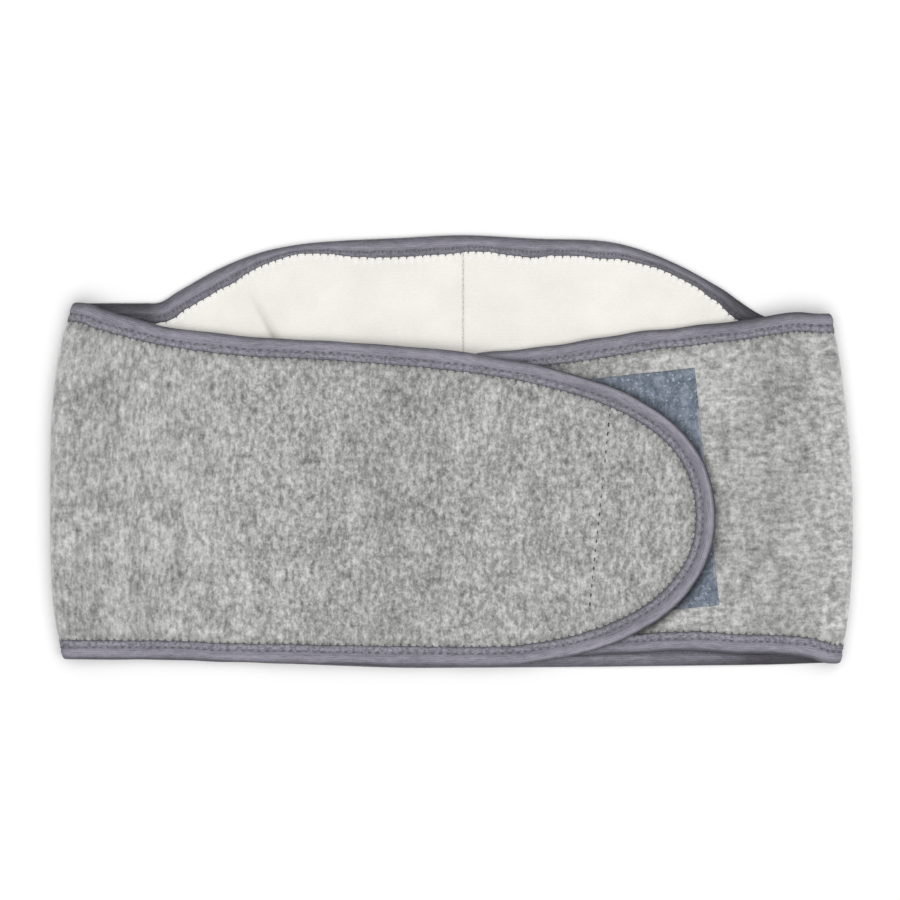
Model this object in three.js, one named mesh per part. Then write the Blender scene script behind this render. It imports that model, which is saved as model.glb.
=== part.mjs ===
// An abdominal binder: a wide belt of marled knit with a fleece lining, bound all round, closed and laid
// flat.
//
// The belt is drawn as a flat pattern and then wrapped. In the pattern, `run` is the distance along the belt
// from the seam at the centre of the back, negative to the left, and `y` is the height across the belt.
// The wrap lays the back down with its lining up, turns each side over in a soft fold, and brings the two
// fronts back over it, the left one on top. `h` is the height through the cloth, from its middle towards the
// lining. The belt is centred on the origin, with +X to the right, +Y to its upper edge and its underside
// at z = 0.
import * as THREE from "three";

const { clamp, degToRad, lerp, smoothstep } = THREE.MathUtils;

// The belt as it lies, in millimetres. Heights are taken across the belt, up from its lowest hem.
const LAID_WIDTH = 408;
const BACK_HEIGHT = 220;
const LEFT_SIDE_HEIGHT = 185.4;
const RIGHT_SIDE_HEIGHT = 180;
const LEFT_FRONT_HEIGHT = 159.5;
const RIGHT_FRONT_HEIGHT = 155.4;
const HEM_BOW = 5;
const HALF_LENGTH = 551.5;
const SEAM_SHIFT = 5.8;

// The rounded end of each front.
const END_LENGTH = 121;
const TIP_HEIGHT = 77;
const END_FALL = 0.145;
const END_HANDLE = 0.56;
const TIP_HANDLE = 0.64;

// The cloth, and how much of its thickness is left under the binding.
const OUTER_THICKNESS = 1.4;
const LINING_THICKNESS = 1.4;
const SQUEEZED_SHARE = 0.5;
const PUFF_RUN = 4.5;

// The binding, folded over the edge of the cloth. Its rounding and bulge at the fold are shares of its
// thickness.
const BINDING_WIDTH = 10;
const BINDING_THICKNESS = 0.7;
const BINDING_ROUND = 1.6;
const BINDING_BULGE = 0.1;

// The fastener: a loop patch sewn on the right front, and a hook patch inside the left tip that lies on it.
// Each patch's end lies some way back from the left tip, and its middle some way above that tip's height.
const LOOP_LENGTH = 139;
const LOOP_HEIGHT = 121;
const LOOP_THICKNESS = 0.9;
const LOOP_END = 3.7;
const LOOP_RAISE = 8;
const HOOK_LENGTH = 48;
const HOOK_HEIGHT = 100;
const HOOK_THICKNESS = 1;
const HOOK_END = 12.5;
const HOOK_RAISE = 0.7;
const PATCH_TILT = degToRad(6);

// Clearances: between neighbouring pieces, and between the patches and the binding.
const GAP = 0.3;
const PATCH_MARGIN = 1;

// The soft folds at the two sides, and how far the hems pull their ends in.
const FOLD_RADIUS = 6;
const HEM_FOLD_RADIUS = 5;
const FOLD_MIDDLE = 0.42;
const PULL_RUN = 60;
const LEFT_TOP_PULL = 10.4;
const LEFT_HEM_PULL = 5.4;
const RIGHT_TOP_PULL = 10;
const RIGHT_HEM_PULL = 5.4;

// How the fronts settle on what is under them.
const LEFT_SETTLE_RUN = 46;
const RIGHT_SETTLE_RUN = 78;
const END_DIP = 3.2;
const DIP_RUN = 20;
const LIFT_RUN = 14;
const LIFT_MARGIN = 10;

// Edges of the back, from the seam to the side. `along` is a share of that run, `rise` of the way from the
// side's height up to the back's, and `bow` of HEM_BOW.
const BACK_LEFT = [
  { along: 0.158, rise: 0.96, bow: 0 },
  { along: 0.309, rise: 0.918, bow: 0.2 },
  { along: 0.41, rise: 0.865, bow: 0.36 },
  { along: 0.51, rise: 0.745, bow: 0.52 },
  { along: 0.611, rise: 0.514, bow: 0.66 },
  { along: 0.711, rise: 0.19, bow: 0.76 },
  { along: 0.765, rise: 0.018, bow: 0.81 },
  { along: 0.82, rise: 0, bow: 0.84 },
  { along: 0.912, rise: 0, bow: 0.88 },
];
const BACK_RIGHT = [
  { along: 0.205, rise: 0.955, bow: 0.05 },
  { along: 0.365, rise: 0.93, bow: 0.1 },
  { along: 0.472, rise: 0.82, bow: 0.15 },
  { along: 0.579, rise: 0.613, bow: 0.2 },
  { along: 0.685, rise: 0.335, bow: 0.25 },
  { along: 0.739, rise: 0.17, bow: 0.27 },
  { along: 0.792, rise: 0.032, bow: 0.3 },
  { along: 0.845, rise: -0.05, bow: 0.33 },
  { along: 0.912, rise: -0.06, bow: 0.4 },
];

// Edges of the fronts, from the side to the rounded end. `rise` is a share of the way from the front's height
// up to the side's.
const FRONT_LEFT = [
  { along: 0.061, rise: 0.912, bow: 0.88 },
  { along: 0.122, rise: 0.765, bow: 0.86 },
  { along: 0.191, rise: 0.608, bow: 0.83 },
  { along: 0.26, rise: 0.49, bow: 0.79 },
  { along: 0.4, rise: 0.373, bow: 0.62 },
  { along: 0.54, rise: 0.294, bow: 0.46 },
  { along: 0.678, rise: 0.235, bow: 0.36 },
  { along: 0.819, rise: 0.157, bow: 0.25 },
  { along: 0.931, rise: 0.069, bow: 0.2 },
];
const FRONT_RIGHT = [
  { along: 0.055, rise: 1.03, bow: 1.12 },
  { along: 0.129, rise: 0.969, bow: 1.37 },
  { along: 0.23, rise: 0.854, bow: 1.47 },
  { along: 0.347, rise: 0.7375, bow: 1.73 },
  { along: 0.45, rise: 0.6375, bow: 1.52 },
  { along: 0.5675, rise: 0.458, bow: 1.27 },
  { along: 0.715, rise: 0.29, bow: 1 },
  { along: 0.816, rise: 0.1875, bow: 0.8 },
  { along: 0.915, rise: 0.083, bow: 0.7 },
];

// How finely the curves are drawn.
const FINE_STEPS = 120;
const END_STEPS = 11;
const FOLD_STEPS = 8;
const BACK_STEPS = 13;
const FRONT_STEPS = 19;
const INNER_ROWS = 4;
const PATCH_LONG_STEPS = 8;
const PATCH_HIGH_STEPS = 5;
const SHORT_STEP = 0.05;

// Heights through the cloth: its faces, its faces under the binding, and the binding's own faces.
const GAP_HALF = GAP / 2;
const OUTER_FACE = GAP_HALF + OUTER_THICKNESS;
const LINING_FACE = GAP_HALF + LINING_THICKNESS;
const SQUEEZED_OUTER = GAP_HALF + OUTER_THICKNESS * SQUEEZED_SHARE;
const SQUEEZED_LINING = GAP_HALF + LINING_THICKNESS * SQUEEZED_SHARE;
const BINDING_OUTER = Math.max(SQUEEZED_OUTER + GAP + BINDING_THICKNESS, OUTER_FACE);
const BINDING_LINING = Math.max(SQUEEZED_LINING + GAP + BINDING_THICKNESS, LINING_FACE);
const CLOTH_INSET = BINDING_THICKNESS + GAP;

// Levels of the middle of each layer of cloth, above the surface that the belt lies on.
const BACK_LEVEL = BINDING_OUTER;
const RIGHT_LEVEL = BACK_LEVEL + 2 * BINDING_LINING + GAP;
const LOOP_LIFT = OUTER_FACE - BINDING_OUTER + GAP + LOOP_THICKNESS;
const LEFT_LEVEL = RIGHT_LEVEL + BINDING_OUTER + LOOP_LIFT + GAP + BINDING_LINING;
const HOOK_LIFT = LINING_FACE - BINDING_LINING + GAP + HOOK_THICKNESS;

const HEM_LINE = -BACK_HEIGHT / 2;
const FOLD_CENTRE = LAID_WIDTH / 2 - OUTER_FACE - FOLD_RADIUS;
const FOLD_RUN = Math.PI * FOLD_RADIUS;
const STRAIGHT_LENGTH = HALF_LENGTH - END_LENGTH;

// One half of the belt, from the seam to a tip.
function beltHalf(sign, sizes) {
  const backRun = FOLD_CENTRE - sign * SEAM_SHIFT;
  return { sign, backRun, foldEnd: backRun + FOLD_RUN, ...sizes };
}

const LEFT = beltHalf(-1, {
  sideHeight: LEFT_SIDE_HEIGHT,
  frontHeight: LEFT_FRONT_HEIGHT,
  sideBow: 0.91,
  endBow: 0.2,
  back: BACK_LEFT,
  front: FRONT_LEFT,
  topPull: LEFT_TOP_PULL,
  topPower: 3.1,
  hemPull: LEFT_HEM_PULL,
  hemPower: 3,
  settleRun: LEFT_SETTLE_RUN,
});
const RIGHT = beltHalf(1, {
  sideHeight: RIGHT_SIDE_HEIGHT,
  frontHeight: RIGHT_FRONT_HEIGHT,
  sideBow: 0.5,
  endBow: 0.6,
  back: BACK_RIGHT,
  front: FRONT_RIGHT,
  topPull: RIGHT_TOP_PULL,
  topPower: 1.7,
  hemPull: RIGHT_HEM_PULL,
  hemPower: 2.5,
  settleRun: RIGHT_SETTLE_RUN,
});

// Where the left tip comes to lie, and from it the middles of the two patches.
const LEFT_TIP_X = HALF_LENGTH - LEFT.foldEnd - FOLD_CENTRE;
const TIP_Y = HEM_LINE + TIP_HEIGHT;
const LOOP_MIDDLE = new THREE.Vector2(LEFT_TIP_X - LOOP_END - LOOP_LENGTH / 2, TIP_Y + LOOP_RAISE);
const HOOK_MIDDLE = new THREE.Vector2(LEFT_TIP_X - HOOK_END - HOOK_LENGTH / 2, TIP_Y + HOOK_RAISE);

const ease = (t) => smoothstep(t, 0, 1);
const spread = (from, to, steps) => Array.from({ length: steps + 1 }, (_, i) => lerp(from, to, i / steps));
const hemAt = (bow) => HEM_LINE + bow * HEM_BOW;
const topAt = (low, high, rise) => HEM_LINE + lerp(low, high, rise);

// The points of one half's two edges, from the seam outwards: run along the belt, top and hem.
function edgePoints(half) {
  const { sign, backRun, foldEnd, sideHeight, frontHeight } = half;
  const frontRun = STRAIGHT_LENGTH - foldEnd;
  const point = (out, top, bow) => ({ run: sign * out, top, hem: hemAt(bow) });
  return [
    ...half.back.map((row) => point(row.along * backRun, topAt(sideHeight, BACK_HEIGHT, row.rise), row.bow)),
    point(backRun, HEM_LINE + sideHeight, half.sideBow),
    point(foldEnd, HEM_LINE + sideHeight, half.sideBow),
    ...half.front.map((row) =>
      point(foldEnd + row.along * frontRun, topAt(frontHeight, sideHeight, row.rise), row.bow),
    ),
    point(STRAIGHT_LENGTH, HEM_LINE + frontHeight, half.endBow),
  ];
}

// A smooth curve through the points of both halves, from the left end to the right one.
function edgeCurve(key) {
  const seam = { run: 0, top: HEM_LINE + BACK_HEIGHT, hem: HEM_LINE };
  const points = [...edgePoints(LEFT).reverse(), seam, ...edgePoints(RIGHT)];
  return new THREE.SplineCurve(points.map((p) => new THREE.Vector2(p.run, p[key])));
}

// One quarter of a rounded end, from the tip to where the straight edge starts.
function endCurve(half, key) {
  const upper = key === "top";
  const start = new THREE.Vector2(
    half.sign * STRAIGHT_LENGTH,
    upper ? HEM_LINE + half.frontHeight : hemAt(half.endBow),
  );
  const tip = new THREE.Vector2(half.sign * HALF_LENGTH, TIP_Y);
  const reach = END_HANDLE * END_LENGTH;
  const nearTip = new THREE.Vector2(tip.x, lerp(tip.y, start.y, TIP_HANDLE));
  const nearStart = new THREE.Vector2(start.x + half.sign * reach, start.y - (upper ? END_FALL * reach : 0));
  return new THREE.CubicBezierCurve(tip, nearTip, nearStart, start);
}

// A point of an edge with the direction into the cloth, for a tangent that runs to the right.
function edgePoint(key, point, along) {
  const into = new THREE.Vector2(-along.y, along.x).multiplyScalar(key === "top" ? -1 : 1);
  return { point, into };
}

// The rounded end's stations for one edge, from its start to the tip.
function endStations(half, key, steps) {
  const curve = endCurve(half, key);
  return spread(1, 0, steps).map((t) =>
    edgePoint(key, curve.getPoint(t), curve.getTangent(t).multiplyScalar(-half.sign)),
  );
}

// The whole upper or lower edge from the left tip to the right one, as a fine row of points.
function fineEdge(key) {
  const straight = edgeCurve(key);
  return [
    ...endStations(LEFT, key, FINE_STEPS).reverse(),
    ...spread(0, 1, FINE_STEPS * 5).map((t) => edgePoint(key, straight.getPoint(t), straight.getTangent(t))),
    ...endStations(RIGHT, key, FINE_STEPS),
  ];
}

const EDGES = { top: fineEdge("top"), hem: fineEdge("hem") };

// The edge's point at a run, with the direction into the cloth.
function edgeAt(key, run) {
  const edge = EDGES[key];
  const i = edge.findIndex((p) => p.point.x >= run);
  const [a, b] = [edge[i - 1], edge[i]];
  const t = b.point.x === a.point.x ? 0 : (run - a.point.x) / (b.point.x - a.point.x);
  return { point: a.point.clone().lerp(b.point, t), into: a.into.clone().lerp(b.into, t).normalize() };
}

// How far inside the belt's outline a point of the pattern is, less than nothing outside it.
function edgeDistance(run, y) {
  let nearest = Infinity;
  for (const edge of [EDGES.top, EDGES.hem])
    for (const { point } of edge) nearest = Math.min(nearest, (point.x - run) ** 2 + (point.y - y) ** 2);
  const inBelt =
    Math.abs(run) < HALF_LENGTH && y < edgeAt("top", run).point.y && y > edgeAt("hem", run).point.y;
  return Math.sqrt(nearest) * (inBelt ? 1 : -1);
}

// 1 over the hook patch, falling to 0 over LIFT_RUN around it.
function hookWeight(x, y) {
  const [dx, dy] = [x - HOOK_MIDDLE.x, y - HOOK_MIDDLE.y];
  const [c, s] = [Math.cos(-PATCH_TILT), Math.sin(-PATCH_TILT)];
  const outside = Math.hypot(
    Math.max(0, Math.abs(dx * c + dy * s) - HOOK_LENGTH / 2 - LIFT_MARGIN),
    Math.max(0, Math.abs(dy * c - dx * s) - HOOK_HEIGHT / 2 - LIFT_MARGIN),
  );
  return ease(1 - outside / LIFT_RUN);
}

// The level on which the middle of the left front rests: over the right front, and lower beyond its hidden
// end.
function leftRest(x, y) {
  const under = RIGHT.foldEnd + FOLD_CENTRE - x;
  const beyond = -edgeDistance(under, y);
  const rise = laid(under, y).z - RIGHT_LEVEL;
  return LEFT_LEVEL + rise - END_DIP * ease(beyond / DIP_RUN) + HOOK_LIFT * hookWeight(x, y);
}

// Where a point of the pattern comes to lie, at the middle of the cloth.
function laid(run, y) {
  const half = run < 0 ? LEFT : RIGHT;
  const out = Math.abs(run);
  const hem = hemAt(half.sideBow);
  const across = clamp((y - hem) / (HEM_LINE + half.sideHeight - hem), 0, 1);
  const radius = lerp(FOLD_RADIUS, HEM_FOLD_RADIUS, Math.abs(2 * across - 1) ** 3);
  const turn = clamp((out - half.backRun) / FOLD_RADIUS, 0, Math.PI);
  const past = Math.max(0, out - half.foldEnd);
  const before = Math.max(0, half.backRun - out);
  const pull =
    across > FOLD_MIDDLE
      ? half.topPull * ((across - FOLD_MIDDLE) / (1 - FOLD_MIDDLE)) ** half.topPower
      : half.hemPull * ((FOLD_MIDDLE - across) / FOLD_MIDDLE) ** half.hemPower;
  const pulled = pull * ease(1 - (past + before) / PULL_RUN);
  const x = half.sign * (FOLD_CENTRE - before - past + radius * Math.sin(turn) - pulled);
  const z = BACK_LEVEL + radius * (1 - Math.cos(turn));
  if (past === 0) return new THREE.Vector3(x, y, z);
  const rest = half === LEFT ? leftRest(x, y) : RIGHT_LEVEL;
  return new THREE.Vector3(x, y, lerp(z, rest, ease(past / half.settleRun)));
}

// 0 under the binding and 1 where the cloth has its full thickness.
function puffAt(inset) {
  return ease((inset - BINDING_WIDTH - GAP) / PUFF_RUN);
}

// A point of the pattern at height h through the cloth. The back's cloth sinks between its hems to lie flat.
function place({ x: run, y }, h, inset) {
  const point = laid(run, y);
  const alongRun = laid(run + SHORT_STEP, y).sub(laid(run - SHORT_STEP, y));
  const alongY = laid(run, y + SHORT_STEP).sub(laid(run, y - SHORT_STEP));
  const normal = alongRun.cross(alongY).normalize();
  const half = run < 0 ? LEFT : RIGHT;
  const onBack = ease((half.backRun - Math.abs(run)) / LIFT_RUN);
  point.z -= (BINDING_OUTER - OUTER_FACE) * puffAt(inset) * onBack;
  return point.addScaledVector(normal, h);
}

// A closed solid between two faces of a grid. `at(i, j, side)` gives its points, and `side` 1 is the face
// that sees the columns and rows turn counter-clockwise.
function gridSolid(columns, rows, at) {
  const position = [];
  const index = [];
  const id = (i, j, side) => (i * rows + j) * 2 + side;
  for (let i = 0; i < columns; i++)
    for (let j = 0; j < rows; j++) for (const side of [0, 1]) position.push(...at(i, j, side).toArray());
  const quad = (a, b, c, d) => index.push(a, b, c, a, c, d);
  for (let i = 0; i < columns - 1; i++)
    for (let j = 0; j < rows - 1; j++) {
      quad(id(i, j, 1), id(i + 1, j, 1), id(i + 1, j + 1, 1), id(i, j + 1, 1));
      quad(id(i, j, 0), id(i, j + 1, 0), id(i + 1, j + 1, 0), id(i + 1, j, 0));
    }
  for (let i = 0; i < columns - 1; i++) {
    quad(id(i, 0, 0), id(i + 1, 0, 0), id(i + 1, 0, 1), id(i, 0, 1));
    quad(id(i, rows - 1, 1), id(i + 1, rows - 1, 1), id(i + 1, rows - 1, 0), id(i, rows - 1, 0));
  }
  for (let j = 0; j < rows - 1; j++) {
    quad(id(0, j, 1), id(0, j + 1, 1), id(0, j + 1, 0), id(0, j, 0));
    quad(id(columns - 1, j, 0), id(columns - 1, j + 1, 0), id(columns - 1, j + 1, 1), id(columns - 1, j, 1));
  }
  return closed(position, index);
}

function closed(position, index) {
  const geometry = new THREE.BufferGeometry();
  geometry.setAttribute("position", new THREE.Float32BufferAttribute(position, 3));
  geometry.setIndex(index);
  return geometry;
}

// The distances from the seam at which the cloth of one half is drawn, up to where its rounded end starts.
function straightRuns(half) {
  return [
    ...spread(0, half.backRun, BACK_STEPS),
    ...spread(half.backRun, half.foldEnd, FOLD_STEPS).slice(1),
    ...spread(half.foldEnd, STRAIGHT_LENGTH, FRONT_STEPS).slice(1, -1),
  ];
}

// One layer of cloth of one half, between the heights that `faces` gives for each distance from the edge.
function panel(half, faces) {
  const runs = [GAP_HALF, ...straightRuns(half).slice(1)].map((out) => half.sign * out);
  const side = (key) => [
    ...runs.map((run) => edgeAt(key, run)),
    ...endStations(half, key, END_STEPS).slice(0, -1),
  ];
  const [tops, hems] = [side("top"), side("hem")];
  const columns = tops.map((top, i) => {
    const [high, low] = [top, hems[i]].map((p) => p.point.clone().addScaledVector(p.into, CLOTH_INSET));
    if (i < runs.length) high.x = low.x = runs[i];
    const puffed = BINDING_WIDTH + GAP - CLOTH_INSET + PUFF_RUN;
    const room = Math.min(1, high.distanceTo(low) / (puffed * 3));
    const shares = [0, (puffed - PUFF_RUN) * room, puffed * room].map((d) => d / high.distanceTo(low));
    const middle = spread(shares[2], 1 - shares[2], INNER_ROWS);
    const rows = [0, shares[1], ...middle, 1 - shares[1], 1];
    return rows.map((t) => low.clone().lerp(high, t));
  });
  if (half === LEFT) columns.reverse();
  return gridSolid(columns.length, columns[0].length, (i, j, side) => {
    const p = columns[i][j];
    const inset = edgeDistance(p.x, p.y);
    return place(p, faces(inset)[side], inset);
  });
}

const outerFaces = (inset) => [-lerp(SQUEEZED_OUTER, OUTER_FACE, puffAt(inset)), -GAP_HALF];
const liningFaces = (inset) => [GAP_HALF, lerp(SQUEEZED_LINING, LINING_FACE, puffAt(inset))];

// The outline at the binding's own stations, counter-clockwise, each with the direction into the cloth.
function bindingPath() {
  const side = (key) => {
    const runs = [...straightRuns(LEFT).slice(1).map((out) => -out).reverse(), ...straightRuns(RIGHT)];
    return [
      ...endStations(LEFT, key, END_STEPS).reverse(),
      ...runs.map((run) => edgeAt(key, run)),
      ...endStations(RIGHT, key, END_STEPS),
    ];
  };
  return [...side("hem"), ...side("top").reverse().slice(1, -1)];
}

// The binding's section, folded over the edge: distance into the cloth and height through it.
function bindingSection() {
  const [outer, lining] = [BINDING_OUTER, BINDING_LINING];
  const t = BINDING_THICKNESS;
  return [
    [BINDING_WIDTH, -outer],
    [BINDING_ROUND * t, -outer],
    [BINDING_BULGE * t, -outer / 2],
    [BINDING_BULGE * t, lining / 2],
    [BINDING_ROUND * t, lining],
    [BINDING_WIDTH, lining],
    [BINDING_WIDTH, lining - t],
    [t, lining - t],
    [t, t - outer],
    [BINDING_WIDTH, t - outer],
  ];
}

function binding() {
  const path = bindingPath();
  const section = bindingSection();
  const position = [];
  const index = [];
  path.forEach(({ point, into }, i) => {
    section.forEach(([inset, h], j) => {
      const p = point.clone().addScaledVector(into, inset);
      position.push(...place(p, h, inset).toArray());
      const [here, next] = [i, (i + 1) % path.length].map((k) => k * section.length);
      const after = (j + 1) % section.length;
      const corners = [here + j, next + j, next + after, here + after];
      const [a, b, c, d] = section[after][0] < inset ? [...corners.slice(1), corners[0]] : corners;
      index.push(a, b, c, a, c, d);
    });
  });
  return closed(position, index);
}

// A flat patch on one face of a front, kept clear of the binding.
function patch(half, { middle, length, height, from, to }) {
  const least = BINDING_WIDTH + PATCH_MARGIN;
  const centre = new THREE.Vector2(half.sign * (half.foldEnd + FOLD_CENTRE) - middle.x, middle.y);
  const origin = new THREE.Vector2();
  const at = (a, b) => new THREE.Vector2(a, b).rotateAround(origin, -half.sign * PATCH_TILT).add(centre);
  const clear = (p) => edgeDistance(p.x, p.y) >= least;
  const reach = (a, direction) => {
    let b = height / 2;
    while (b > 0 && !clear(at(a, direction * b))) b -= GAP;
    return at(a, direction * b);
  };
  const along = spread(-length / 2, length / 2, PATCH_LONG_STEPS);
  const columns = along.map((a) => [reach(a, -1), reach(a, 1)]);
  return gridSolid(PATCH_LONG_STEPS + 1, PATCH_HIGH_STEPS + 1, (i, j, side) => {
    const p = columns[i][0].clone().lerp(columns[i][1], j / PATCH_HIGH_STEPS);
    return place(p, [from, to][side], least + PUFF_RUN);
  });
}

const MARL = { color: 0xa6a6a5, roughness: 0.95, metalness: 0 };
const FLEECE = { color: 0xf0ece4, roughness: 0.95, metalness: 0 };
const BRAID = { color: 0x7c7a88, roughness: 0.8, metalness: 0 };
const LOOPS = { color: 0x76808c, roughness: 0.9, metalness: 0 };
const HOOKS = { color: 0x6f7986, roughness: 0.6, metalness: 0 };

function piece(name, geometry, look) {
  geometry.computeVertexNormals();
  const mesh = new THREE.Mesh(geometry, new THREE.MeshStandardMaterial(look));
  mesh.name = name;
  return mesh;
}

const binder = new THREE.Group();
binder.add(
  piece("outer_left", panel(LEFT, outerFaces), MARL),
  piece("outer_right", panel(RIGHT, outerFaces), MARL),
  piece("lining_left", panel(LEFT, liningFaces), FLEECE),
  piece("lining_right", panel(RIGHT, liningFaces), FLEECE),
  piece("edge_binding", binding(), BRAID),
  piece(
    "loop_patch",
    patch(RIGHT, {
      middle: LOOP_MIDDLE,
      length: LOOP_LENGTH,
      height: LOOP_HEIGHT,
      from: -OUTER_FACE - GAP - LOOP_THICKNESS,
      to: -OUTER_FACE - GAP,
    }),
    LOOPS,
  ),
  piece(
    "hook_patch",
    patch(LEFT, {
      middle: HOOK_MIDDLE,
      length: HOOK_LENGTH,
      height: HOOK_HEIGHT,
      from: LINING_FACE + GAP,
      to: LINING_FACE + GAP + HOOK_THICKNESS,
    }),
    HOOKS,
  ),
);

export default binder;
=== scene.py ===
"""Looks of a wide waist binder, closed and laid flat.

The belt is drawn as a flat pattern and then wrapped. In the pattern `run` is the distance along the belt
from the seam at the centre of the back, negative to the left, `y` is the height across the belt and `h` the
height through the cloth, from its middle towards the lining. Patterns are worked out in millimetres and
meshes are made in metres.
"""

import logging
import math
from dataclasses import dataclass, field
from enum import Enum

import bpy
import numpy as np
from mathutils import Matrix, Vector, kdtree


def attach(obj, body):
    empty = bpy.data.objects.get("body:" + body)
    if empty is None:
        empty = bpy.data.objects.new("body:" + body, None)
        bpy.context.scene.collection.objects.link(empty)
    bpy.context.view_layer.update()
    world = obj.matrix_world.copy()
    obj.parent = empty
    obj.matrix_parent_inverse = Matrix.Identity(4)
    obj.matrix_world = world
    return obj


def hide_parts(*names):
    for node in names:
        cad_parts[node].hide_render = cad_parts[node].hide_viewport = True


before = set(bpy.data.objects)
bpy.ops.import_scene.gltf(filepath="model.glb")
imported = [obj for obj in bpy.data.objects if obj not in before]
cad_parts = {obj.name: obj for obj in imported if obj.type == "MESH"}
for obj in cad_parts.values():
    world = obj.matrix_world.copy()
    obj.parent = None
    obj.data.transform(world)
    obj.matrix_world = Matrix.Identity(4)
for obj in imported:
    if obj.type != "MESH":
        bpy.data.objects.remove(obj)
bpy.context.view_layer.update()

log = logging.getLogger("binder")
MM = 0.001
BODY = "root"
Array = np.ndarray
Socket = bpy.types.NodeSocket
Rows = tuple[tuple[float, float], ...]
Line = tuple[tuple[float, float], tuple[float, float]]
Triple = tuple[float, float, float]
Colour = tuple[float, float, float, float]


class Side(Enum):
    """The two faces of the belt."""

    OUTER = -1
    LINING = 1


class Edge(Enum):
    """The two long edges of the belt."""

    TOP = "top"
    HEM = "hem"


def ease(t: Array | float) -> Array:
    """A smooth step from 0 to 1.

    Args:
        t: Position, where 0 and below gives 0 and 1 and above gives 1.

    Returns:
        The eased value.
    """
    t = np.clip(t, 0.0, 1.0)
    return t * t * (3 - 2 * t)


def lerp(a: Array | float, b: Array | float, t: Array | float) -> Array | float:
    """The value a share `t` of the way from `a` to `b`."""
    return a + (b - a) * t


def hump(t: Array | float, width: float) -> Array:
    """A bell that is 1 at 0 and fades over `width` to both sides."""
    return np.exp(-((t / width) ** 2))


def bell(t: Array | float, shape: Triple) -> Array:
    """A bell given as (middle, reach, height)."""
    middle, reach, height = shape
    return height * hump(t - middle, reach)


@dataclass(frozen=True)
class Half:
    """One half of the belt, from the seam to a tip.

    Each edge row is (share along, rise of the top edge, bow of the hem).
    """

    sign: int
    back_run: float
    side_height: float
    front_height: float
    side_bow: float
    end_bow: float
    top_pull: float
    top_power: float
    hem_pull: float
    hem_power: float
    settle_run: float
    back: tuple[Triple, ...]
    front: tuple[Triple, ...]

    @property
    def fold_end(self) -> float:
        """Where the side fold ends, along the run."""
        return self.back_run + math.pi * Pattern.FOLD_RADIUS


LEFT = Half(
    sign=-1,
    back_run=202.25,
    side_height=185.4,
    front_height=159.5,
    side_bow=0.91,
    end_bow=0.2,
    top_pull=10.4,
    top_power=3.1,
    hem_pull=5.4,
    hem_power=3.0,
    settle_run=46.0,
    back=(
        (0.158, 0.96, 0.0), (0.309, 0.918, 0.2), (0.41, 0.865, 0.36), (0.51, 0.745, 0.52),
        (0.611, 0.514, 0.66), (0.711, 0.19, 0.76), (0.765, 0.018, 0.81), (0.82, 0.0, 0.84),
        (0.912, 0.0, 0.88),
    ),
    front=(
        (0.061, 0.858, 0.88), (0.122, 0.74, 0.86), (0.191, 0.625, 0.83), (0.26, 0.52, 0.79),
        (0.4, 0.373, 0.62), (0.54, 0.294, 0.46), (0.678, 0.235, 0.36), (0.819, 0.157, 0.25),
        (0.931, 0.069, 0.2),
    ),
)
RIGHT = Half(
    sign=1,
    back_run=190.65,
    side_height=180.0,
    front_height=155.4,
    side_bow=0.5,
    end_bow=0.6,
    top_pull=10.0,
    top_power=1.7,
    hem_pull=5.4,
    hem_power=2.5,
    settle_run=78.0,
    back=(
        (0.205, 0.955, 0.05), (0.365, 0.93, 0.1), (0.472, 0.82, 0.15), (0.579, 0.613, 0.2),
        (0.685, 0.335, 0.25), (0.739, 0.17, 0.27), (0.792, 0.032, 0.3), (0.845, -0.05, 0.33),
        (0.912, -0.06, 0.4),
    ),
    front=(
        (0.055, 1.03, 1.12), (0.129, 0.969, 1.37), (0.23, 0.854, 1.47), (0.347, 0.7375, 1.73),
        (0.45, 0.6375, 1.52), (0.5675, 0.458, 1.27), (0.715, 0.29, 1.0), (0.816, 0.1875, 0.8),
        (0.915, 0.083, 0.7),
    ),
)


class Waves:
    """Soft random undulation of a cloth, a sum of seeded waves with a standard deviation of about 1."""

    def __init__(self, seed: int, shortest: float, longest: float, count: int = 14) -> None:
        """Draws the waves.

        Args:
            seed: Seed of the random draws.
            shortest: Shortest wavelength in millimetres.
            longest: Longest wavelength in millimetres.
            count: Number of waves.
        """
        draw = np.random.default_rng(seed)
        length = draw.uniform(shortest, longest, count)
        angle = draw.uniform(0, math.tau, count)
        self.kx = math.tau * np.cos(angle) / length
        self.ky = math.tau * np.sin(angle) / length
        self.phase = draw.uniform(0, math.tau, count)
        self.gain = math.sqrt(2 / count)

    def at(self, x: Array, y: Array) -> Array:
        """The undulation.

        Args:
            x: First coordinate of the places.
            y: Second coordinate of the places.

        Returns:
            Its value at each place.
        """
        total = np.zeros_like(np.asarray(x, float))
        for kx, ky, phase in zip(self.kx, self.ky, self.phase):
            total += np.sin(kx * x + ky * y + phase)
        return total * self.gain


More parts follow.
